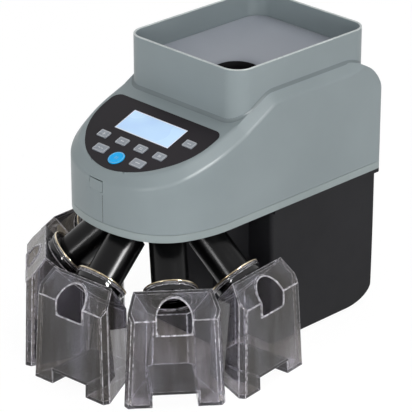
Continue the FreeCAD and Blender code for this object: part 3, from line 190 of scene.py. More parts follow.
def mouldedFinish(name, look):
    finish, tree, shader, coordinates = blankFinish(name)
    stretch = look.get("stretch")
    patches = noisePattern(tree, coordinates, look["patch"], mouldedNoise["patchDetail"])
    grain = noisePattern(tree, coordinates, look["grain"], mouldedNoise["grainDetail"], stretch)
    wear = noisePattern(tree, coordinates, look["patch"] * mouldedNoise["wearFiner"],
                        mouldedNoise["wearDetail"], stretch)
    tree.links.new(twoTones(tree, patches, look), shader.inputs["Base Color"])
    tree.links.new(spread(tree, wear, *look["gloss"]), shader.inputs["Roughness"])
    relief(tree, shader, grain, look)
    setInputs(shader, {"Metallic": look.get("metal", 0.0), "Specular IOR Level": look.get("specular", 0.5)})
    if "clear" in look:
        tree.links.new(spread(tree, wear, *look["clear"]), shader.inputs["Transmission Weight"])
    return finish


mouldedLooks = {
    "casingGrey": {"low": (133, 144, 147), "high": (142, 153, 156), "patch": 7.0, "grain": 1300.0,
                   "strength": 0.35, "depth": 0.00006, "gloss": (0.36, 0.46), "specular": 0.45},
    # Painted shade: a darker grey for the cove in the corner at the hopper's foot.
    "coveShade": {"low": (112, 122, 125), "high": (121, 131, 134), "patch": 7.0, "grain": 1300.0,
                  "strength": 0.35, "depth": 0.00006, "gloss": (0.36, 0.46), "specular": 0.3},
    # Painted highlight: a paler band along the hopper's rim.
    "rimPale": {"low": (186, 194, 194), "high": (206, 213, 212), "patch": 30.0, "grain": 1300.0,
                "strength": 0.2, "depth": 0.00004, "gloss": (0.26, 0.36)},
    # Painted shade: near black for the spout's inside, so the hole shows dark.
    "throatBlack": {"low": (7, 7, 8), "high": (12, 12, 13), "patch": 20.0, "grain": 1100.0,
                    "strength": 0.3, "depth": 0.00005, "gloss": (0.6, 0.75), "specular": 0.1},
    "bandGrey": {"low": (144, 155, 156), "high": (153, 164, 165), "patch": 8.0, "grain": 1300.0,
                 "strength": 0.3, "depth": 0.00005, "gloss": (0.36, 0.46), "specular": 0.45},
    "baseBlack": {"low": (25, 25, 28), "high": (31, 31, 34), "patch": 9.0, "grain": 1100.0,
                  "strength": 0.5, "depth": 0.00009, "gloss": (0.5, 0.62), "specular": 0.15},
    "bowlGrey": {"low": (150, 155, 164), "high": (160, 165, 174), "patch": 10.0, "grain": 1200.0,
                 "strength": 0.3, "depth": 0.00005, "gloss": (0.38, 0.5), "specular": 0.4},
    "panelBlack": {"low": (28, 25, 29), "high": (35, 31, 36), "patch": 14.0, "grain": 1700.0,
                   "strength": 0.25, "depth": 0.00004, "gloss": (0.3, 0.4), "specular": 0.12},
    "keyGrey": {"low": (142, 149, 158), "high": (151, 158, 167), "patch": 60.0, "grain": 1900.0,
                "strength": 0.3, "depth": 0.00004, "gloss": (0.42, 0.52)},
    "keyRimGrey": {"low": (176, 178, 182), "high": (186, 188, 192), "patch": 60.0, "grain": 1900.0,
                   "strength": 0.2, "depth": 0.00003, "gloss": (0.35, 0.45)},
    "markPale": {"low": (206, 208, 210), "high": (218, 220, 222), "patch": 80.0, "grain": 2200.0,
                 "strength": 0.1, "depth": 0.00002, "gloss": (0.45, 0.55)},
    "startBlue": {"low": (2, 180, 255), "high": (6, 190, 255), "patch": 50.0, "grain": 1900.0,
                  "strength": 0.2, "depth": 0.00003, "gloss": (0.3, 0.4), "specular": 0.25},
    "startRimBlue": {"low": (110, 180, 226), "high": (126, 192, 236), "patch": 50.0, "grain": 1900.0,
                     "strength": 0.2, "depth": 0.00003, "gloss": (0.3, 0.4)},
    "tubeGloss": {"low": (4, 4, 5), "high": (8, 8, 9), "patch": 20.0, "grain": 500.0,
                  "strength": 0.04, "depth": 0.00003, "gloss": (0.2, 0.26), "specular": 0.19},
    "worksIvory": {"low": (196, 193, 182), "high": (210, 207, 197), "patch": 16.0, "grain": 1000.0,
                   "strength": 0.3, "depth": 0.00005, "gloss": (0.42, 0.55)},
    "discGrey": {"low": (82, 86, 92), "high": (94, 98, 104), "patch": 20.0, "grain": 900.0,
                 "strength": 0.3, "depth": 0.00006, "gloss": (0.35, 0.5)},
    "turnedMetal": {"low": (168, 170, 174), "high": (190, 192, 196), "patch": 30.0, "grain": 1500.0,
                    "stretch": (1.0, 1.0, 14.0), "strength": 0.35, "depth": 0.00004,
                    "gloss": (0.26, 0.4), "metal": 1.0},
    "platedSteel": {"low": (172, 172, 168), "high": (198, 198, 194), "patch": 60.0, "grain": 900.0,
                    "strength": 0.25, "depth": 0.00004, "gloss": (0.24, 0.42), "metal": 1.0},
    "footRubber": {"low": (24, 24, 25), "high": (33, 33, 34), "patch": 40.0, "grain": 1400.0,
                   "strength": 0.5, "depth": 0.0001, "gloss": (0.7, 0.85), "specular": 0.25},
    "sensorBlack": {"low": (22, 22, 26), "high": (34, 32, 38), "patch": 60.0, "grain": 1500.0,
                    "strength": 0.2, "depth": 0.00003, "gloss": (0.2, 0.35)},
    # A paler, less clear acrylic for the cups' rounded edges and notch beads: painted highlight.
    "edgeAcrylic": {"low": (222, 220, 226), "high": (244, 242, 247), "patch": 60.0, "grain": 900.0,
                    "strength": 0.1, "depth": 0.00003, "gloss": (0.05, 0.14), "clear": (0.3, 1.0)},
    # A pale gold metal for the bead on each collar: painted highlight.
    "goldenRim": {"low": (140, 126, 100), "high": (232, 220, 196), "patch": 45.0, "grain": 900.0,
                  "strength": 0.05, "depth": 0.00002, "gloss": (0.12, 0.2), "metal": 0.9},
}
finishes = {name: mouldedFinish(name, look) for name, look in mouldedLooks.items()}


def circuitFinish(name, look):
    # Green lacquer with pale tracks, from a brick pattern laid over fine noise.
    finish, tree, shader, coordinates = blankFinish(name)
    tracks = addNode(tree, "TexBrick", {"Scale": look["scale"], "Mortar Size": look["line"],
                                        "Color1": tone(*look["board"]), "Color2": tone(*look["boardShade"]),
                                        "Mortar": tone(*look["track"])})
    tree.links.new(coordinates, tracks.inputs["Vector"])
    tree.links.new(tracks.outputs["Color"], shader.inputs["Base Color"])
    haze = noisePattern(tree, coordinates, look["haze"])
    tree.links.new(spread(tree, haze, *look["gloss"]), shader.inputs["Roughness"])
    relief(tree, shader, tracks.outputs["Fac"], look)
    return finish


circuitLook = {"scale": 90.0, "line": 0.012, "board": (22, 84, 52), "boardShade": (18, 72, 46),
               "track": (96, 140, 92), "haze": 120.0, "gloss": (0.3, 0.45), "strength": 0.4, "depth": 0.00005}
finishes["circuitGreen"] = circuitFinish("circuitGreen", circuitLook)


def displayFinish(name, look):
    # A lit liquid-crystal face: pale blue, a slow gradient and a fine dot grid.
    finish, tree, shader, coordinates = blankFinish(name)
    glow = noisePattern(tree, coordinates, look["patch"], detail=1.0)
    colours = twoTones(tree, glow, look)
    dots = addNode(tree, "TexChecker", {"Scale": look["dots"]})
    tree.links.new(coordinates, dots.inputs["Vector"])
    tree.links.new(colours, shader.inputs["Base Color"])
    tree.links.new(colours, shader.inputs["Emission Color"])
    setInputs(shader, {"Emission Strength": look["lit"], "Coat Weight": look["coat"],
                       "Coat Roughness": look["coatRoughness"]})
    tree.links.new(spread(tree, glow, *look["gloss"]), shader.inputs["Roughness"])
    relief(tree, shader, dots.outputs["Fac"], look)
    return finish


displayLook = {"low": (160, 191, 224), "high": (176, 206, 236), "patch": 22.0, "dots": 1400.0, "lit": 0.46,
               "coat": 0.5, "coatRoughness": 0.06, "gloss": (0.22, 0.3), "strength": 0.05, "depth": 0.00002}
displayEdgeLook = dict(displayLook, low=(206, 216, 230), high=(220, 228, 240), lit=0.2)
finishes["displayBlue"] = displayFinish("displayBlue", displayLook)
finishes["displayEdge"] = displayFinish("displayEdge", displayEdgeLook)


def acrylicFinish(name, look):
    # Smoked clear acrylic. Lamps' rays go through it, so what stands inside is lit.
    finish, tree, shader, coordinates = blankFinish(name)
    haze = noisePattern(tree, coordinates, look["patch"], stretch=look.get("stretch"))
    tree.links.new(twoTones(tree, haze, look), shader.inputs["Base Color"])
    setInputs(shader, {"Transmission Weight": look["clear"], "IOR": look["ior"]})
    tree.links.new(spread(tree, haze, *look["gloss"]), shader.inputs["Roughness"])
    relief(tree, shader, noisePattern(tree, coordinates, look["ripple"], detail=1.0), look)
    clear = addNode(tree, "BsdfTransparent", {"Color": tone(*look["shade"])})
    rays = addNode(tree, "LightPath")
    blendShaders(tree, rays.outputs["Is Shadow Ray"], shader.outputs["BSDF"], clear.outputs["BSDF"],
                 tree.nodes["Material Output"])
    return finish


acrylicLooks = {
    # The smoked tint is the acrylic's own; its dark vertical streaks are painted reflection.
    "smokedAcrylicPaintedStreaks": {"low": (150, 146, 140), "high": (234, 234, 243), "shade": (220, 219, 223),
                      "patch": 42.0, "stretch": (1.0, 1.0, 0.16), "clear": 0.97, "gloss": (0.02, 0.05),
                      "ior": 1.42, "ripple": 45.0, "strength": 0.04, "depth": 0.0004},
    # A dark tint for the cup's tunnel and neck: painted shade.
    "paintedShadeTint": {"low": (60, 60, 64), "high": (70, 70, 74), "shade": (140, 138, 144),
                    "patch": 30.0, "clear": 1.0, "gloss": (0.02, 0.05),
                    "ior": 1.46, "ripple": 60.0, "strength": 0.03, "depth": 0.0003},
    # A dark tint for the ring under each collar: painted shade.
    "paintedSleeveShade": {"low": (36, 36, 42), "high": (70, 68, 76), "shade": (120, 118, 124),
                    "patch": 40.0, "clear": 1.0, "gloss": (0.04, 0.1),
                    "ior": 1.46, "ripple": 60.0, "strength": 0.03, "depth": 0.0003},
}
for name, look in acrylicLooks.items():
    finishes[name] = acrylicFinish(name, look)

slotFinishes = {
    "casing": "casingGrey", "deck_band": "bandGrey", "base_black": "baseBlack", "funnel_grey": "bowlGrey",
    "panel_dark": "panelBlack", "display": "displayBlue", "electronics": "circuitGreen",
    "keys_grey": "keyGrey", "key_blue": "startBlue", "tube_black": "tubeGloss",
    "cup_smoke": "smokedAcrylicPaintedStreaks", "latch_dark": "casingGrey", "works_plastic": "worksIvory",
    "disc_plastic": "discGrey", "machined": "turnedMetal", "steel": "platedSteel",
    "rubber": "footRubber", "sensor": "sensorBlack",
}
slotOf = {}
for name, node in nodes.items():
    for holder in node.material_slots:
        slotOf[name] = holder.material.name
        holder.material = finishes[slotFinishes[slotOf[name]]]
print("coin sorter: finishes made,", len(finishes))


def clearSelection():
    bpy.ops.object.select_all(action="DESELECT")


def makeActive(piece):
    clearSelection()
    piece.select_set(True)
    bpy.context.view_layer.objects.active = piece


def newPiece(name):
    # The object in hand, such as a primitive that was just added, under its own name.
    piece = bpy.context.object
    piece.name = name
    return piece


def openEdit(piece, kind="FACE"):
    makeActive(piece)
    bpy.ops.object.mode_set(mode="EDIT")
    bpy.ops.mesh.select_mode(type=kind)
    bpy.ops.mesh.select_all(action="DESELECT")


def closeEdit():
    bpy.ops.object.mode_set(mode="OBJECT")


def pickAll():
    bpy.ops.mesh.select_all(action="SELECT")


def pickParts(piece, kind, test):
    # The faces, edges or verts that pass the test, and no others.
    shape = bmesh.from_edit_mesh(piece.data)
    shape.normal_update()
    for part in getattr(shape, kind):
        part.select_set(bool(test(part)))
    if kind == "verts":
        shape.select_flush_mode()
    bmesh.update_edit_mesh(piece.data)


def paintPicked(piece, index):
    piece.active_material_index = index
    bpy.ops.object.material_slot_assign()


def turnOutwards():
    pickAll()
    bpy.ops.mesh.normals_make_consistent(inside=False)


def useModifier(piece, kind, **settings):
    makeActive(piece)
    modifier = piece.modifiers.new("work", kind)
    for name, value in settings.items():
        setattr(modifier, name, value)
    bpy.ops.object.modifier_apply(modifier=modifier.name)


def roundEdges(piece, width, segments=3, angle=30.0):
    useModifier(piece, "BEVEL", width=width, segments=segments, limit_method="ANGLE",
                angle_limit=math.radians(angle), use_clamp_overlap=True)


def settle(piece):
    # The place goes into the mesh, as it is for every node of the frame.
    makeActive(piece)
    bpy.ops.object.transform_apply(location=True, rotation=True, scale=True)


def smoothBy(piece, angle, weighted=True):
    makeActive(piece)
    bpy.ops.object.shade_smooth_by_angle(angle=math.radians(angle))
    if weighted:
        useModifier(piece, "WEIGHTED_NORMAL", keep_sharp=True, weight=50)


def dress(piece, body, slotName, *names):
    piece.data.materials.clear()
    for name in names:
        piece.data.materials.append(finishes[name])
    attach(piece, body)


mergeShape = {"distance": 0.00001, "flat": 0.6}


def traceNode(nodeName, pieceName):
    # A merged copy of a node's mesh, its flat faces whole again, ready to be worked on.
    piece = bpy.data.objects.new(pieceName, nodes[nodeName].data.copy())
    bpy.context.scene.collection.objects.link(piece)
    openEdit(piece)
    pickAll()
    bpy.ops.mesh.customdata_custom_splitnormals_clear()
    bpy.ops.mesh.remove_doubles(threshold=mergeShape["distance"])
    bpy.ops.mesh.dissolve_limited(angle_limit=math.radians(mergeShape["flat"]))
    closeEdit()
    return piece


casingShape = {
    "edge": 0.0009, "edgeAngle": 40.0, "smooth": 35.0, "rimBand": 0.0012,
    "shoulder": 0.0024, "shoulderSegments": 4, "shoulderFoot": 0.2036, "shoulderEnd": 0.15,
    "shoulderSide": 0.0885, "turn": (11.0, 66.0), "rise": (-0.03, 0.2), "longEdge": 0.03, "longCuts": 15,
    "hopperBox": ((-0.0795, -0.0206, 0.2), (0.0795, 0.169, 0.31)),
}


def turnOf(edge):
    if len(edge.link_faces) != 2:
        return 0.0
    return math.degrees(edge.calc_face_angle_signed(0.0))


def onHopper(point):
    # Inside the upright box of the hopper, a little larger than its own outside.
    low, high = casingShape["hopperBox"]
    return all(low[side] < point[side] < high[side] for side in range(3))


def isShoulder(edge):
    # The outer crease between the console, the flat top or the cheeks and the sides below them.
    shape = casingShape
    if not shape["turn"][0] < turnOf(edge) < shape["turn"][1]:
        return False
    middle = (edge.verts[0].co + edge.verts[1].co) / 2.0
    if onHopper(middle) or middle.z < shape["shoulderFoot"] or middle.y > shape["shoulderEnd"]:
        return False
    if middle.y > shape["hopperBox"][0][1] and abs(middle.x) < shape["shoulderSide"]:
        return False
    rises = [face.normal.z for face in edge.link_faces]
    return min(rises) > shape["rise"][0] and max(rises) > shape["rise"][1]


def shapedCasing(shape):
    piece = traceNode("top_cover", "casingShell")
    # Long runs of the crease are cut up first, so that the rounding can stop before the tail.
    openEdit(piece, "EDGE")
    pickParts(piece, "edges", lambda edge: isShoulder(edge) and edge.calc_length() > shape["longEdge"])
    bpy.ops.mesh.subdivide(number_cuts=shape["longCuts"])
    pickParts(piece, "edges", isShoulder)
    bpy.ops.mesh.bevel(offset=shape["shoulder"], segments=shape["shoulderSegments"], affect="EDGES",
                       clamp_overlap=False)
    closeEdit()
    roundEdges(piece, shape["edge"], angle=shape["edgeAngle"])
    smoothBy(piece, shape["smooth"])
    dress(piece, "cover", "casing", "casingGrey", "rimPale")
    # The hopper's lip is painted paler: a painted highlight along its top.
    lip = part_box("top_cover")[1].z - shape["rimBand"]
    openEdit(piece)
    pickParts(piece, "faces", lambda face: face.calc_center_median().z > lip)
    paintPicked(piece, 1)
    closeEdit()
    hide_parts("top_cover")
    return piece


casingShell = shapedCasing(casingShape)


def onCasing(start, heading):
    # Where a line from this point meets the casing.
    return casingShell.ray_cast(Vector(start), Vector(heading))[1]


coveShape = {"halfWidth": 0.079, "front": -0.0201, "back": 0.1685, "corner": 0.02, "steps": 240,
             "reach": 0.003, "curvePoints": 6, "above": 0.4, "clear": 0.0003, "sunk": 0.00005,
             "edgeRoot": (0.0004, 0.0008), "footRoot": (0.0006, 0.0006), "smooth": 50.0}


def coveOutline(shape):
    # Points and outward directions along the hopper's rounded outside, evenly spaced.
    halfWidth = shape["halfWidth"] - shape["corner"]
    front = shape["front"] + shape["corner"]
    back = shape["back"] - shape["corner"]
    quarter = math.pi / 2.0 * shape["corner"]
    sides = [(back - front, (halfWidth, front), (0.0, 1.0), 0.0),
             (2.0 * halfWidth, (halfWidth, back), (-1.0, 0.0), 90.0),
             (back - front, (-halfWidth, back), (0.0, -1.0), 180.0),
             (2.0 * halfWidth, (-halfWidth, front), (1.0, 0.0), 270.0)]
    around = sum(side[0] + quarter for side in sides)
    outline = []
    for step in range(shape["steps"]):
        along = around * step / shape["steps"]
        for length, start, heading, outward in sides:
            if along < length + quarter:
                break
            along -= length + quarter
        straight = min(along, length)
        turn = math.radians(outward) + max(0.0, along - length) / shape["corner"]
        away = Vector((math.cos(turn), math.sin(turn), 0.0))
        centre = Vector((start[0] + heading[0] * straight, start[1] + heading[1] * straight, 0.0))
        outline.append((centre + away * shape["corner"], away))
    return outline


def topHeight(point):
    return onCasing((point.x, point.y, coveShape["above"]), (0.0, 0.0, -1.0)).z


def coveSection(shape, wall, away):
    # A hollow curve from the wall to the casing's top, closed by two points hidden inside.
    reach = shape["reach"]
    foot = Vector((wall.x, wall.y, topHeight(wall + away * shape["clear"])))
    top = foot + Vector((0.0, 0.0, reach)) - away * shape["sunk"]
    edge = wall + away * reach
    edge.z = topHeight(edge) - shape["sunk"]
    section = []
    for step in range(shape["curvePoints"]):
        share = step / (shape["curvePoints"] - 1.0)
        section.append(top * (1.0 - share) ** 2 + foot * (2.0 * share * (1.0 - share)) + edge * share ** 2)
    for corner, (inward, down) in ((edge, shape["edgeRoot"]), (foot, shape["footRoot"])):
        section.append(corner - away * inward - Vector((0.0, 0.0, down)))
    return section


def hopperCove(shape):
    # A torus is pulled into a hollow moulding that fills the corner at the hopper's foot.
    around = shape["curvePoints"] + 2
    sections = [coveSection(shape, wall, away) for wall, away in coveOutline(shape)]
    clearSelection()
    bpy.ops.mesh.primitive_torus_add(major_segments=shape["steps"], minor_segments=around,
                                     major_radius=1.0, minor_radius=0.1)
    cove = newPiece("hopperCove")
    openEdit(cove, "VERT")
    ring = bmesh.from_edit_mesh(cove.data)
    for vertex in ring.verts:
        major = math.atan2(vertex.co.y, vertex.co.x) / (2.0 * math.pi)
        minor = math.atan2(vertex.co.z, math.hypot(vertex.co.x, vertex.co.y) - 1.0) / (2.0 * math.pi)
        vertex.co = sections[round(major * shape["steps"]) % shape["steps"]][round(minor * around) % around]
    bmesh.update_edit_mesh(cove.data)
    turnOutwards()
    closeEdit()
    smoothBy(cove, shape["smooth"], False)
    # The cove is a darker grey than the casing: painted shade along the hopper's foot.
    dress(cove, "cover", "casing", "coveShade")


hopperCove(coveShape)

softPlates = {
    "deckBand": {"node": "deck_tray", "edge": 0.0012, "segments": 3, "finish": "bandGrey"},
    "baseShell": {"node": "base_housing", "edge": 0.0012, "segments": 3, "finish": "baseBlack"},
    "panelPlate": {"node": "control_panel", "edge": 0.0005, "segments": 2, "finish": "panelBlack"},
}
plateSmooth = 35.0


def softenedPlate(name):
    plan = softPlates[name]
    piece = traceNode(plan["node"], name)
    roundEdges(piece, plan["edge"], plan["segments"])
    smoothBy(piece, plateSmooth)
    dress(piece, nodes[plan["node"]]["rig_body"], slotOf[plan["node"]], plan["finish"])
    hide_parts(plan["node"])


softenedPlate("deckBand")
softenedPlate("baseShell")

latchShape = {"edge": 0.0004, "facing": 0.9, "topRim": 0.0015, "topDrop": 0.0006,
              "sideRim": 0.003, "sideDraw": 0.0004}


def latchPlate(shape):
    # The plate's top and right faces are drawn in a little, so the slit there shows dark.
    piece = traceNode("latch_button", "latchPlate")
    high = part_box("latch_button")[1]
    openEdit(piece)
    pickParts(piece, "faces", lambda face: face.normal.z > shape["facing"]
              and face.calc_center_median().z > high.z - shape["topRim"])
    bpy.ops.transform.translate(value=(0.0, 0.0, -shape["topDrop"]))
    pickParts(piece, "faces", lambda face: face.normal.x > shape["facing"]
              and face.calc_center_median().x > high.x - shape["sideRim"])
    bpy.ops.transform.translate(value=(-shape["sideDraw"], 0.0, 0.0))
    closeEdit()
    roundEdges(piece, shape["edge"], 2)
    smoothBy(piece, plateSmooth)
    dress(piece, "latch", "latch_dark", "casingGrey")
    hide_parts("latch_button")


latchPlate(latchShape)

latchLineShape = {"x": 0.0036, "low": 0.1612, "high": 0.1926, "width": 0.00035, "cuts": 11,
                  "proud": 0.00008, "sunk": 0.0006, "y": -0.18, "before": -0.5, "longShare": 0.9}


def latchLine(shape):
    # A fine dark line from the latch's lower corner down to the seam, laid on the curved front.
    length = shape["high"] - shape["low"]
    clearSelection()
    bpy.ops.mesh.primitive_cube_add(size=1.0, location=(shape["x"], shape["y"], shape["low"] + length / 2.0))
    line = newPiece("latchMouldLine")
    line.scale = (shape["width"], shape["sunk"], length)
    settle(line)
    openEdit(line, "EDGE")
    pickParts(line, "edges", lambda edge: edge.calc_length() > length * shape["longShare"])
    bpy.ops.mesh.subdivide(number_cuts=shape["cuts"])
    strip = bmesh.from_edit_mesh(line.data)
    for vertex in strip.verts:
        surface = onCasing((vertex.co.x, shape["before"], vertex.co.z), (0.0, 1.0, 0.0)).y
        vertex.co.y = surface + (shape["sunk"] if vertex.co.y > shape["y"] else -shape["proud"])
    bmesh.update_edit_mesh(line.data)
    closeEdit()
    dress(line, "cover", "casing", "panelBlack")


latchLine(latchLineShape)
softenedPlate("panelPlate")
print("coin sorter: casing, band, base, latch and panel traced")

console = {"origin": (0.0, -0.055773, 0.2405), "slope": 20.5, "facing": 0.98, "slack": 0.0003}


def onConsole(across, along, above=0.0):
    slope = math.radians(console["slope"])
    x, y, z = console["origin"]
    return Vector((x + across, y + along * math.cos(slope) - above * math.sin(slope),
                   z + along * math.sin(slope) + above * math.cos(slope)))


consoleUp = (onConsole(0.0, 0.0, 1.0) - onConsole(0.0, 0.0)).normalized()


def borderTop(piece, height, border):
    # Top faces, from this height above the console, get a border in the second finish.
    level = onConsole(0.0, 0.0, height)
    pickParts(piece, "faces", lambda face: face.normal.dot(consoleUp) > console["facing"]
              and (face.calc_center_median() - level).dot(consoleUp) > -console["slack"])
    paintPicked(piece, 1)
    bpy.ops.mesh.inset(thickness=border, depth=0.0, use_boundary=True)
    paintPicked(piece, 0)


startKey = 8  # the round one; the keys before it are the small ones
keyShape = {"top": 0.0011, "edge": 0.0004, "edgeAngle": 40.0, "border": 0.0009,
            "lip": 0.00025, "sink": 0.0002, "smooth": 30.0}


def capKey(number, faceName, rimName):
    # The cap's top gets a paler printed border, and the face inside it is sunk a little.
    nodeName = "key_%d" % number
    piece = traceNode(nodeName, "keyCap%d" % number)
    dress(piece, nodes[nodeName]["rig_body"], slotOf[nodeName], faceName, rimName)
    roundEdges(piece, keyShape["edge"], 2, keyShape["edgeAngle"])
    openEdit(piece)
    borderTop(piece, keyShape["top"], keyShape["border"])
    bpy.ops.mesh.inset(thickness=keyShape["lip"], depth=-keyShape["sink"], use_boundary=True)
    closeEdit()
    smoothBy(piece, keyShape["smooth"])
    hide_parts(nodeName)


for number in range(1, startKey):
    capKey(number, "keyGrey", "keyRimGrey")
capKey(startKey, "startBlue", "startRimBlue")

markShape = {"sunk": 0.00025, "thick": 0.0002, "corner": 0.45, "segments": 3}


def printMark(name, body, place, strokes, finishName):
    # Small raised strokes: each is a plane with rounded corners, drawn up to a thin bar.
    bars = []
    slope = (math.radians(console["slope"]), 0.0, 0.0)
    for across, along, length, width in strokes:
        centre = onConsole(place[0] + across, place[1] + along, keyShape["top"] - markShape["sunk"])
        clearSelection()
        bpy.ops.mesh.primitive_plane_add(size=1.0, location=centre, rotation=slope)
        bar = newPiece(name)
        bar.scale = (length, width, 1.0)
        settle(bar)
        openEdit(bar, "VERT")
        pickAll()
        bpy.ops.mesh.bevel(offset=markShape["corner"] * min(length, width), segments=markShape["segments"],
                           affect="VERTICES")
        pickAll()
        bpy.ops.mesh.extrude_region_move(TRANSFORM_OT_translate={"value": consoleUp * markShape["thick"]})
        turnOutwards()
        closeEdit()
        bars.append(bar)
    makeActive(bars[0])
    for bar in bars:
        bar.select_set(True)
    if len(bars) > 1:
        bpy.ops.object.join()
    mark = newPiece(name)
    smoothBy(mark, keyShape["smooth"], False)
    dress(mark, body, "keys_grey", finishName)
    settle(mark)


# A mark's place, and for each stroke its own place, length and width.
smallStroke = (0.0, 0.0, 0.0044, 0.0009)
keyMarks = {
    1: ((-0.039, -0.0326), [smallStroke, (0.0, 0.0, 0.0009, 0.0036)]),
    2: ((-0.0123, -0.0326), [smallStroke]),
    3: ((0.0139, -0.0326), [(0.0, 0.0009, 0.0044, 0.0008), (0.0, -0.0009, 0.0044, 0.0008)]),
    4: ((0.0403, -0.0326), [(-0.001, 0.0, 0.0009, 0.0032), (0.001, 0.0, 0.0009, 0.0032)]),
    5: ((0.055, -0.0052), [(0.0, 0.0, 0.0052, 0.0009)]),
    6: ((-0.0256, -0.0502), [(-0.0018, 0.0, 0.0026, 0.0009), (0.0018, 0.0, 0.0026, 0.0009)]),
    7: ((0.0272, -0.0502), [(0.0, 0.0, 0.0064, 0.0009)]),
    8: ((0.0007, -0.0541), [(-0.0012, 0.0, 0.001, 0.004), (0.0012, 0.0, 0.001, 0.004)]),
}
for number, (place, strokes) in keyMarks.items():
    printMark("keyMark%d" % number, "key_%d_body" % number, place, strokes,
              "markPale" if number < startKey else "startRimBlue")
print("coin sorter: keys capped and marked")

displayShape = {"top": 0.0001, "border": 0.0012, "smooth": 30.0}


def litPane(shape):
    pane = traceNode("lcd_window", "displayPane")
    dress(pane, "cover", "display", "displayBlue", "displayEdge")
    openEdit(pane)
    borderTop(pane, shape["top"], shape["border"])
    closeEdit()
    smoothBy(pane, shape["smooth"], False)
    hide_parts("lcd_window")


litPane(displayShape)

# The dish is how far each ring between rim and hole is off the straight line.
bowlShape = {"halfWidth": 0.0765, "centreY": 0.074227, "halfLength": 0.0918, "corner": 0.0176,
             "rim": 0.282, "foot": 0.27, "holeY": 0.057227, "hole": 0.0221, "spoutFoot": 0.2588,
             "dish": (-0.0003, -0.0004, -0.0003, 0.0001, 0.0007, 0.001), "wall": 0.0022,
             "edge": 0.0007, "edgeAngle": 50.0, "smooth": 60.0, "throat": 0.0008,
             "points": 64, "cornerSegments": 9, "sideCuts": 6, "sideLength": 0.05,
             "ringSlack": 0.2, "footSlack": 0.001}


def bowlRings(shape):
    # A rounded rectangle and a circle with as many points, bridged and then dished ring by ring.
    rings = len(shape["dish"])
    clearSelection()
    bpy.ops.mesh.primitive_plane_add(size=1.0, location=(0.0, shape["centreY"], shape["rim"]))
    bowl = newPiece("hopperBowl")
    bowl.scale = (2.0 * shape["halfWidth"], 2.0 * shape["halfLength"], 1.0)
    settle(bowl)
    openEdit(bowl, "VERT")
    pickAll()
    bpy.ops.mesh.bevel(offset=shape["corner"], segments=shape["cornerSegments"], affect="VERTICES")
    pickAll()
    bpy.ops.mesh.delete(type="ONLY_FACE")
    bpy.ops.mesh.select_mode(type="EDGE")
    pickParts(bowl, "edges", lambda edge: edge.calc_length() > shape["sideLength"])
    bpy.ops.mesh.subdivide(number_cuts=shape["sideCuts"])
    bpy.ops.mesh.select_all(action="DESELECT")
    bpy.ops.mesh.primitive_circle_add(vertices=shape["points"], radius=shape["hole"],
                                      location=(0.0, shape["holeY"], shape["foot"]))
    pickAll()
    bpy.ops.mesh.bridge_edge_loops(number_cuts=rings, interpolation="LINEAR", profile_shape_factor=0.0)
    bpy.ops.mesh.select_mode(type="VERT")
    drop = (shape["rim"] - shape["foot"]) / (rings + 1.0)
    for ring, dish in enumerate(shape["dish"], 1):
        level = shape["rim"] - drop * ring
        pickParts(bowl, "verts", lambda vertex: abs(vertex.co.z - level) < drop * shape["ringSlack"])
        bpy.ops.transform.translate(value=(0.0, 0.0, dish))
    closeEdit()
    return bowl


def hopperBowl(shape):
    bowl = bowlRings(shape)
    print("coin sorter: bowl rings of", len(bowl.data.vertices), "points")
    spout = (0.0, 0.0, shape["spoutFoot"] - shape["foot"])
    openEdit(bowl, "EDGE")
    pickParts(bowl, "edges", lambda edge: edge.is_boundary
              and edge.verts[0].co.z < shape["foot"] + shape["footSlack"])
    bpy.ops.mesh.extrude_region_move(TRANSFORM_OT_translate={"value": spout})
    turnOutwards()
    closeEdit()
    useModifier(bowl, "SUBSURF", levels=1, render_levels=1, boundary_smooth="PRESERVE_CORNERS")
    useModifier(bowl, "SOLIDIFY", thickness=shape["wall"], offset=-1.0, use_even_offset=True)
    useModifier(bowl, "BEVEL", width=shape["edge"], segments=2, limit_method="ANGLE",
                angle_limit=math.radians(shape["edgeAngle"]))
    smoothBy(bowl, shape["smooth"], False)
    dress(bowl, "cover", "funnel_grey", "bowlGrey", "throatBlack")
    # The spout's inside, below the foot, is near black: painted shade in the hole.
    openEdit(bowl)
    pickParts(bowl, "faces", lambda face: face.calc_center_median().z < shape["foot"] - shape["throat"])
    paintPicked(bowl, 1)
    closeEdit()
    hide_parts("hopper_funnel")


hopperBowl(bowlShape)

cupAngles = {1: -87.2, 2: -41.2, 3: 4.8, 4: 50.8, 5: 96.8}
cupShape = {"edge": 0.0011, "segments": 3, "edgeAngle": 28.0, "smooth": 32.0,
            "axisY": -0.043973, "reach": 0.0913, "height": 0.1013, "tilt": 48.0,
            "neckRadius": 0.0246, "neckReach": (-0.012, 0.0012),
            "tunnelHalf": 0.0223, "tunnelHeight": 0.0138, "tunnelRoof": 0.0139, "roofSlack": 0.0012,
            "facing": 0.9, "level": 0.98}


def tubeFrame(angle, along=0.0):
    # Local Z runs up a tube's axis, local Y is its top line.
    heading = math.radians(angle)
    tilt = math.radians(cupShape["tilt"])
    outward = Vector((math.sin(heading), -math.cos(heading), 0.0))
    up = Vector((0.0, 0.0, 1.0))
    axis = (up * math.cos(tilt) - outward * math.sin(tilt)).normalized()
    topLine = (outward * math.cos(tilt) + up * math.sin(tilt)).normalized()
    side = topLine.cross(axis).normalized()
    foot = Vector((0.0, cupShape["axisY"], cupShape["height"])) + outward * cupShape["reach"]
    turn = Matrix((side, topLine, axis)).transposed().to_4x4()
    return Matrix.Translation(foot + axis * along) @ turn


def cupPlace(angle):
    return Matrix.Translation((0.0, cupShape["axisY"], 0.0)) @ Matrix.Rotation(math.radians(angle), 4, "Z")


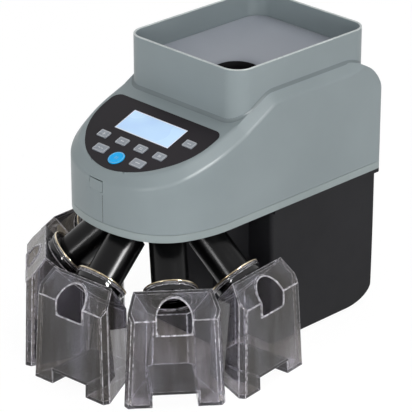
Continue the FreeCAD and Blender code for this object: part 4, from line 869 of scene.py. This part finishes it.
def shapedCup(number, angle):
    shape = cupShape
    back = cupPlace(angle).inverted()
    neck = tubeFrame(angle).inverted()

    def isPaintedShade(face):
        # The tunnel's sides and roof, and the neck under the collar where the black tube ends, get a dark
        # tint: painted shade.
        centre = face.calc_center_median()
        spot = neck @ centre
        inNeck = (math.hypot(spot.x, spot.y) < shape["neckRadius"]
                  and shape["neckReach"][0] < spot.z < shape["neckReach"][1])
        onRoof = (face.normal.z < -shape["facing"]
                  and abs(centre.z - shape["tunnelRoof"]) < shape["roofSlack"])
        onSide = (abs((back @ centre).x) < shape["tunnelHalf"] and centre.z < shape["tunnelHeight"]
                  and abs(face.normal.z) < shape["level"]
                  and abs((back.to_3x3() @ face.normal).x) > shape["facing"])
        return inNeck or onRoof or onSide

    cup = traceNode("coin_cup_%d" % number, "cupBin%d" % number)
    dress(cup, "cup_%d" % number, "cup_smoke", "smokedAcrylicPaintedStreaks", "edgeAcrylic", "paintedShadeTint")
    # The tunnel and the neck get the third finish, a dark tint of painted shade.
    openEdit(cup)
    pickParts(cup, "faces", isPaintedShade)
    paintPicked(cup, 2)
    closeEdit()
    # The rounded edges take the second finish, a painted highlight.
    useModifier(cup, "BEVEL", width=shape["edge"], segments=shape["segments"], limit_method="ANGLE",
                angle_limit=math.radians(shape["edgeAngle"]), use_clamp_overlap=True, material=1)
    smoothBy(cup, shape["smooth"])
    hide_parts("coin_cup_%d" % number)


collarRings = {
    # The bead's pale gold is a painted highlight on the collar's top edge.
    "collarHighlightBead": {"radius": 0.0262, "width": 0.0016, "height": 0.0018, "along": 0.0012,
                   "finish": "goldenRim"},
    # The sleeve is a dark ring under the collar: painted shade.
    "collarShadeSleeve": {"radius": 0.0247, "width": 0.0009, "height": 0.0062, "along": -0.005,
                     "finish": "paintedSleeveShade"},
}
ringShape = {"corner": 0.45, "cornerSegments": 4, "steps": 72, "smooth": 40.0}


def spunRing(name, ring):
    # A slim upright section with rounded corners, spun about the tube's axis.
    clearSelection()
    bpy.ops.mesh.primitive_plane_add(size=1.0, location=(ring["radius"], 0.0, 0.0),
                                     rotation=(math.pi / 2.0, 0.0, 0.0))
    piece = newPiece(name)
    piece.scale = (ring["width"], ring["height"], 1.0)
    settle(piece)
    openEdit(piece, "VERT")
    pickAll()
    bpy.ops.mesh.bevel(offset=ringShape["corner"] * min(ring["width"], ring["height"]),
                       segments=ringShape["cornerSegments"], affect="VERTICES")
    pickAll()
    bpy.ops.mesh.delete(type="ONLY_FACE")
    pickAll()
    bpy.ops.mesh.spin(steps=ringShape["steps"], angle=2.0 * math.pi,
                      center=(0.0, 0.0, 0.0), axis=(0.0, 0.0, 1.0))
    pickAll()
    bpy.ops.mesh.remove_doubles(threshold=mergeShape["distance"])
    turnOutwards()
    closeEdit()
    return piece


# Pairs are how far a place of the cup's outside is from the sorting axis, and its height.
notchShape = {"half": 0.0175, "bottom": 0.077, "spring": 0.094, "top": 0.110, "bead": 0.0009,
              "square": 9.0, "points": 96, "beadRounds": 3, "smooth": 50.0,
              "face": (0.1376, 0.0926), "ridge": (0.1178, 0.1158), "foot": (0.1410, 0.0004)}


def outerReach(height):
    # How far the cup's front face, or the roof above it, is from the sorting axis.
    faceReach, faceHeight = notchShape["face"]
    if height > faceHeight:
        ridgeReach, ridgeHeight = notchShape["ridge"]
        return faceReach - (height - faceHeight) * (faceReach - ridgeReach) / (ridgeHeight - faceHeight)
    footReach, footHeight = notchShape["foot"]
    return faceReach + (faceHeight - height) * (footReach - faceReach) / (faceHeight - footHeight)


def notchRim(shape):
    # A mesh circle is pulled into the notch's outline, then given a round section.
    clearSelection()
    bpy.ops.mesh.primitive_circle_add(vertices=shape["points"], radius=1.0)
    rim = newPiece("notchRimPattern")
    openEdit(rim, "VERT")
    outline = bmesh.from_edit_mesh(rim.data)
    for vertex in outline.verts:
        across, up = vertex.co.x, vertex.co.y
        if up >= 0.0:
            height = shape["spring"] + up * (shape["top"] - shape["spring"])
            side = across * shape["half"]
        else:
            # The lower half goes down the sides and along the flat foot, round at the corners.
            power = shape["square"]
            grow = 1.0 / (abs(across) ** power + abs(up) ** power) ** (1.0 / power)
            side = across * grow * shape["half"]
            height = shape["spring"] + up * grow * (shape["spring"] - shape["bottom"])
        vertex.co = Vector((side, -outerReach(height), height))
    bmesh.update_edit_mesh(rim.data)
    closeEdit()
    makeActive(rim)
    bpy.ops.object.convert(target="CURVE")
    rim = bpy.context.object
    rim.data.bevel_depth = shape["bead"]
    rim.data.bevel_resolution = shape["beadRounds"]
    bpy.ops.object.convert(target="MESH")
    return bpy.context.object


def cupTrim(pattern, name, number, place, smooth, finishName):
    # A copy with its own mesh, set in place on one cup.
    twin = pattern.copy()
    twin.data = pattern.data.copy()
    twin.name = name + str(number)
    bpy.context.scene.collection.objects.link(twin)
    twin.matrix_world = place
    settle(twin)
    smoothBy(twin, smooth, False)
    dress(twin, "cup_%d" % number, "cup_smoke", finishName)


ringPatterns = {name: spunRing(name + "Pattern", ring) for name, ring in collarRings.items()}
rimPattern = notchRim(notchShape)
for number, angle in cupAngles.items():
    shapedCup(number, angle)
    for name, pattern in ringPatterns.items():
        place = tubeFrame(angle, collarRings[name]["along"])
        cupTrim(pattern, name, number, place, ringShape["smooth"], collarRings[name]["finish"])
    # The notch's bead is pale all round: a painted highlight.
    cupTrim(rimPattern, "notchRim", number, cupPlace(angle), notchShape["smooth"], "edgeAcrylic")
for pattern in (rimPattern, *ringPatterns.values()):
    bpy.data.objects.remove(pattern)
print("coin sorter: cups and collars")


def combineRays(tree, operation, first, second):
    combined = addNode(tree, "Math")
    combined.operation = operation
    tree.links.new(first, combined.inputs[0])
    tree.links.new(second, combined.inputs[1])
    return combined.outputs[0]


floorLook = {"size": 12.0, "tone": (246, 246, 246), "through": (200, 194, 182), "roughness": 0.9,
             "seenStraight": 0.9, "white": 1.05}


def paleFloor(look):
    clearSelection()
    bpy.ops.mesh.primitive_plane_add(size=look["size"], location=(0.0, 0.0, 0.0))
    floor = newPiece("paleFloor")
    finish = bpy.data.materials.new("paleFloor")
    finish.use_nodes = True
    tree = finish.node_tree
    shader = tree.nodes["Principled BSDF"]
    setInputs(shader, {"Roughness": look["roughness"], "Specular IOR Level": 0.0})
    # Seen through clear walls the floor is a warm grey that keeps its shade.
    rays = addNode(tree, "LightPath")
    ground = addNode(tree, "Mix")
    ground.data_type = "RGBA"
    setInputs(ground, {"A": tone(*look["tone"]), "B": tone(*look["through"])})
    tree.links.new(rays.outputs["Is Transmission Ray"], ground.inputs["Factor"])
    tree.links.new(ground.outputs["Result"], shader.inputs["Base Color"])
    # Straight from the camera, or in a mirror, it is mostly white.
    mirrored = combineRays(tree, "SUBTRACT", rays.outputs["Is Glossy Ray"],
                           rays.outputs["Is Transmission Ray"])
    straight = combineRays(tree, "MAXIMUM", rays.outputs["Is Camera Ray"], mirrored)
    share = addNode(tree, "Math")
    share.operation = "MULTIPLY"
    share.inputs[1].default_value = look["seenStraight"]
    tree.links.new(straight, share.inputs[0])
    glow = addNode(tree, "Emission", {"Strength": look["white"]})
    blendShaders(tree, share.outputs[0], shader.outputs["BSDF"], glow.outputs["Emission"],
                 tree.nodes["Material Output"])
    floor.data.materials.append(finish)


paleFloor(floorLook)

airLook = {"tone": (1.0, 1.0, 1.0, 1.0), "lit": 0.45, "seen": 1.0}


def studioAir(look):
    # White to the camera, a mirror or glass, and softer where it lights the object.
    world = bpy.data.worlds.new("studioAir")
    bpy.context.scene.world = world
    world.use_nodes = True
    tree = world.node_tree
    tree.nodes.clear()
    rays = addNode(tree, "LightPath")
    direct = combineRays(tree, "MAXIMUM", rays.outputs["Is Camera Ray"], rays.outputs["Is Glossy Ray"])
    seen = combineRays(tree, "MAXIMUM", direct, rays.outputs["Is Transmission Ray"])
    softAir = addNode(tree, "Background", {"Color": look["tone"], "Strength": look["lit"]})
    whiteAir = addNode(tree, "Background", {"Color": look["tone"], "Strength": look["seen"]})
    blendShaders(tree, seen, softAir.outputs["Background"], whiteAir.outputs["Background"],
                 addNode(tree, "OutputWorld"))


studioAir(airLook)
print("coin sorter: floor and world")

clearSelection()
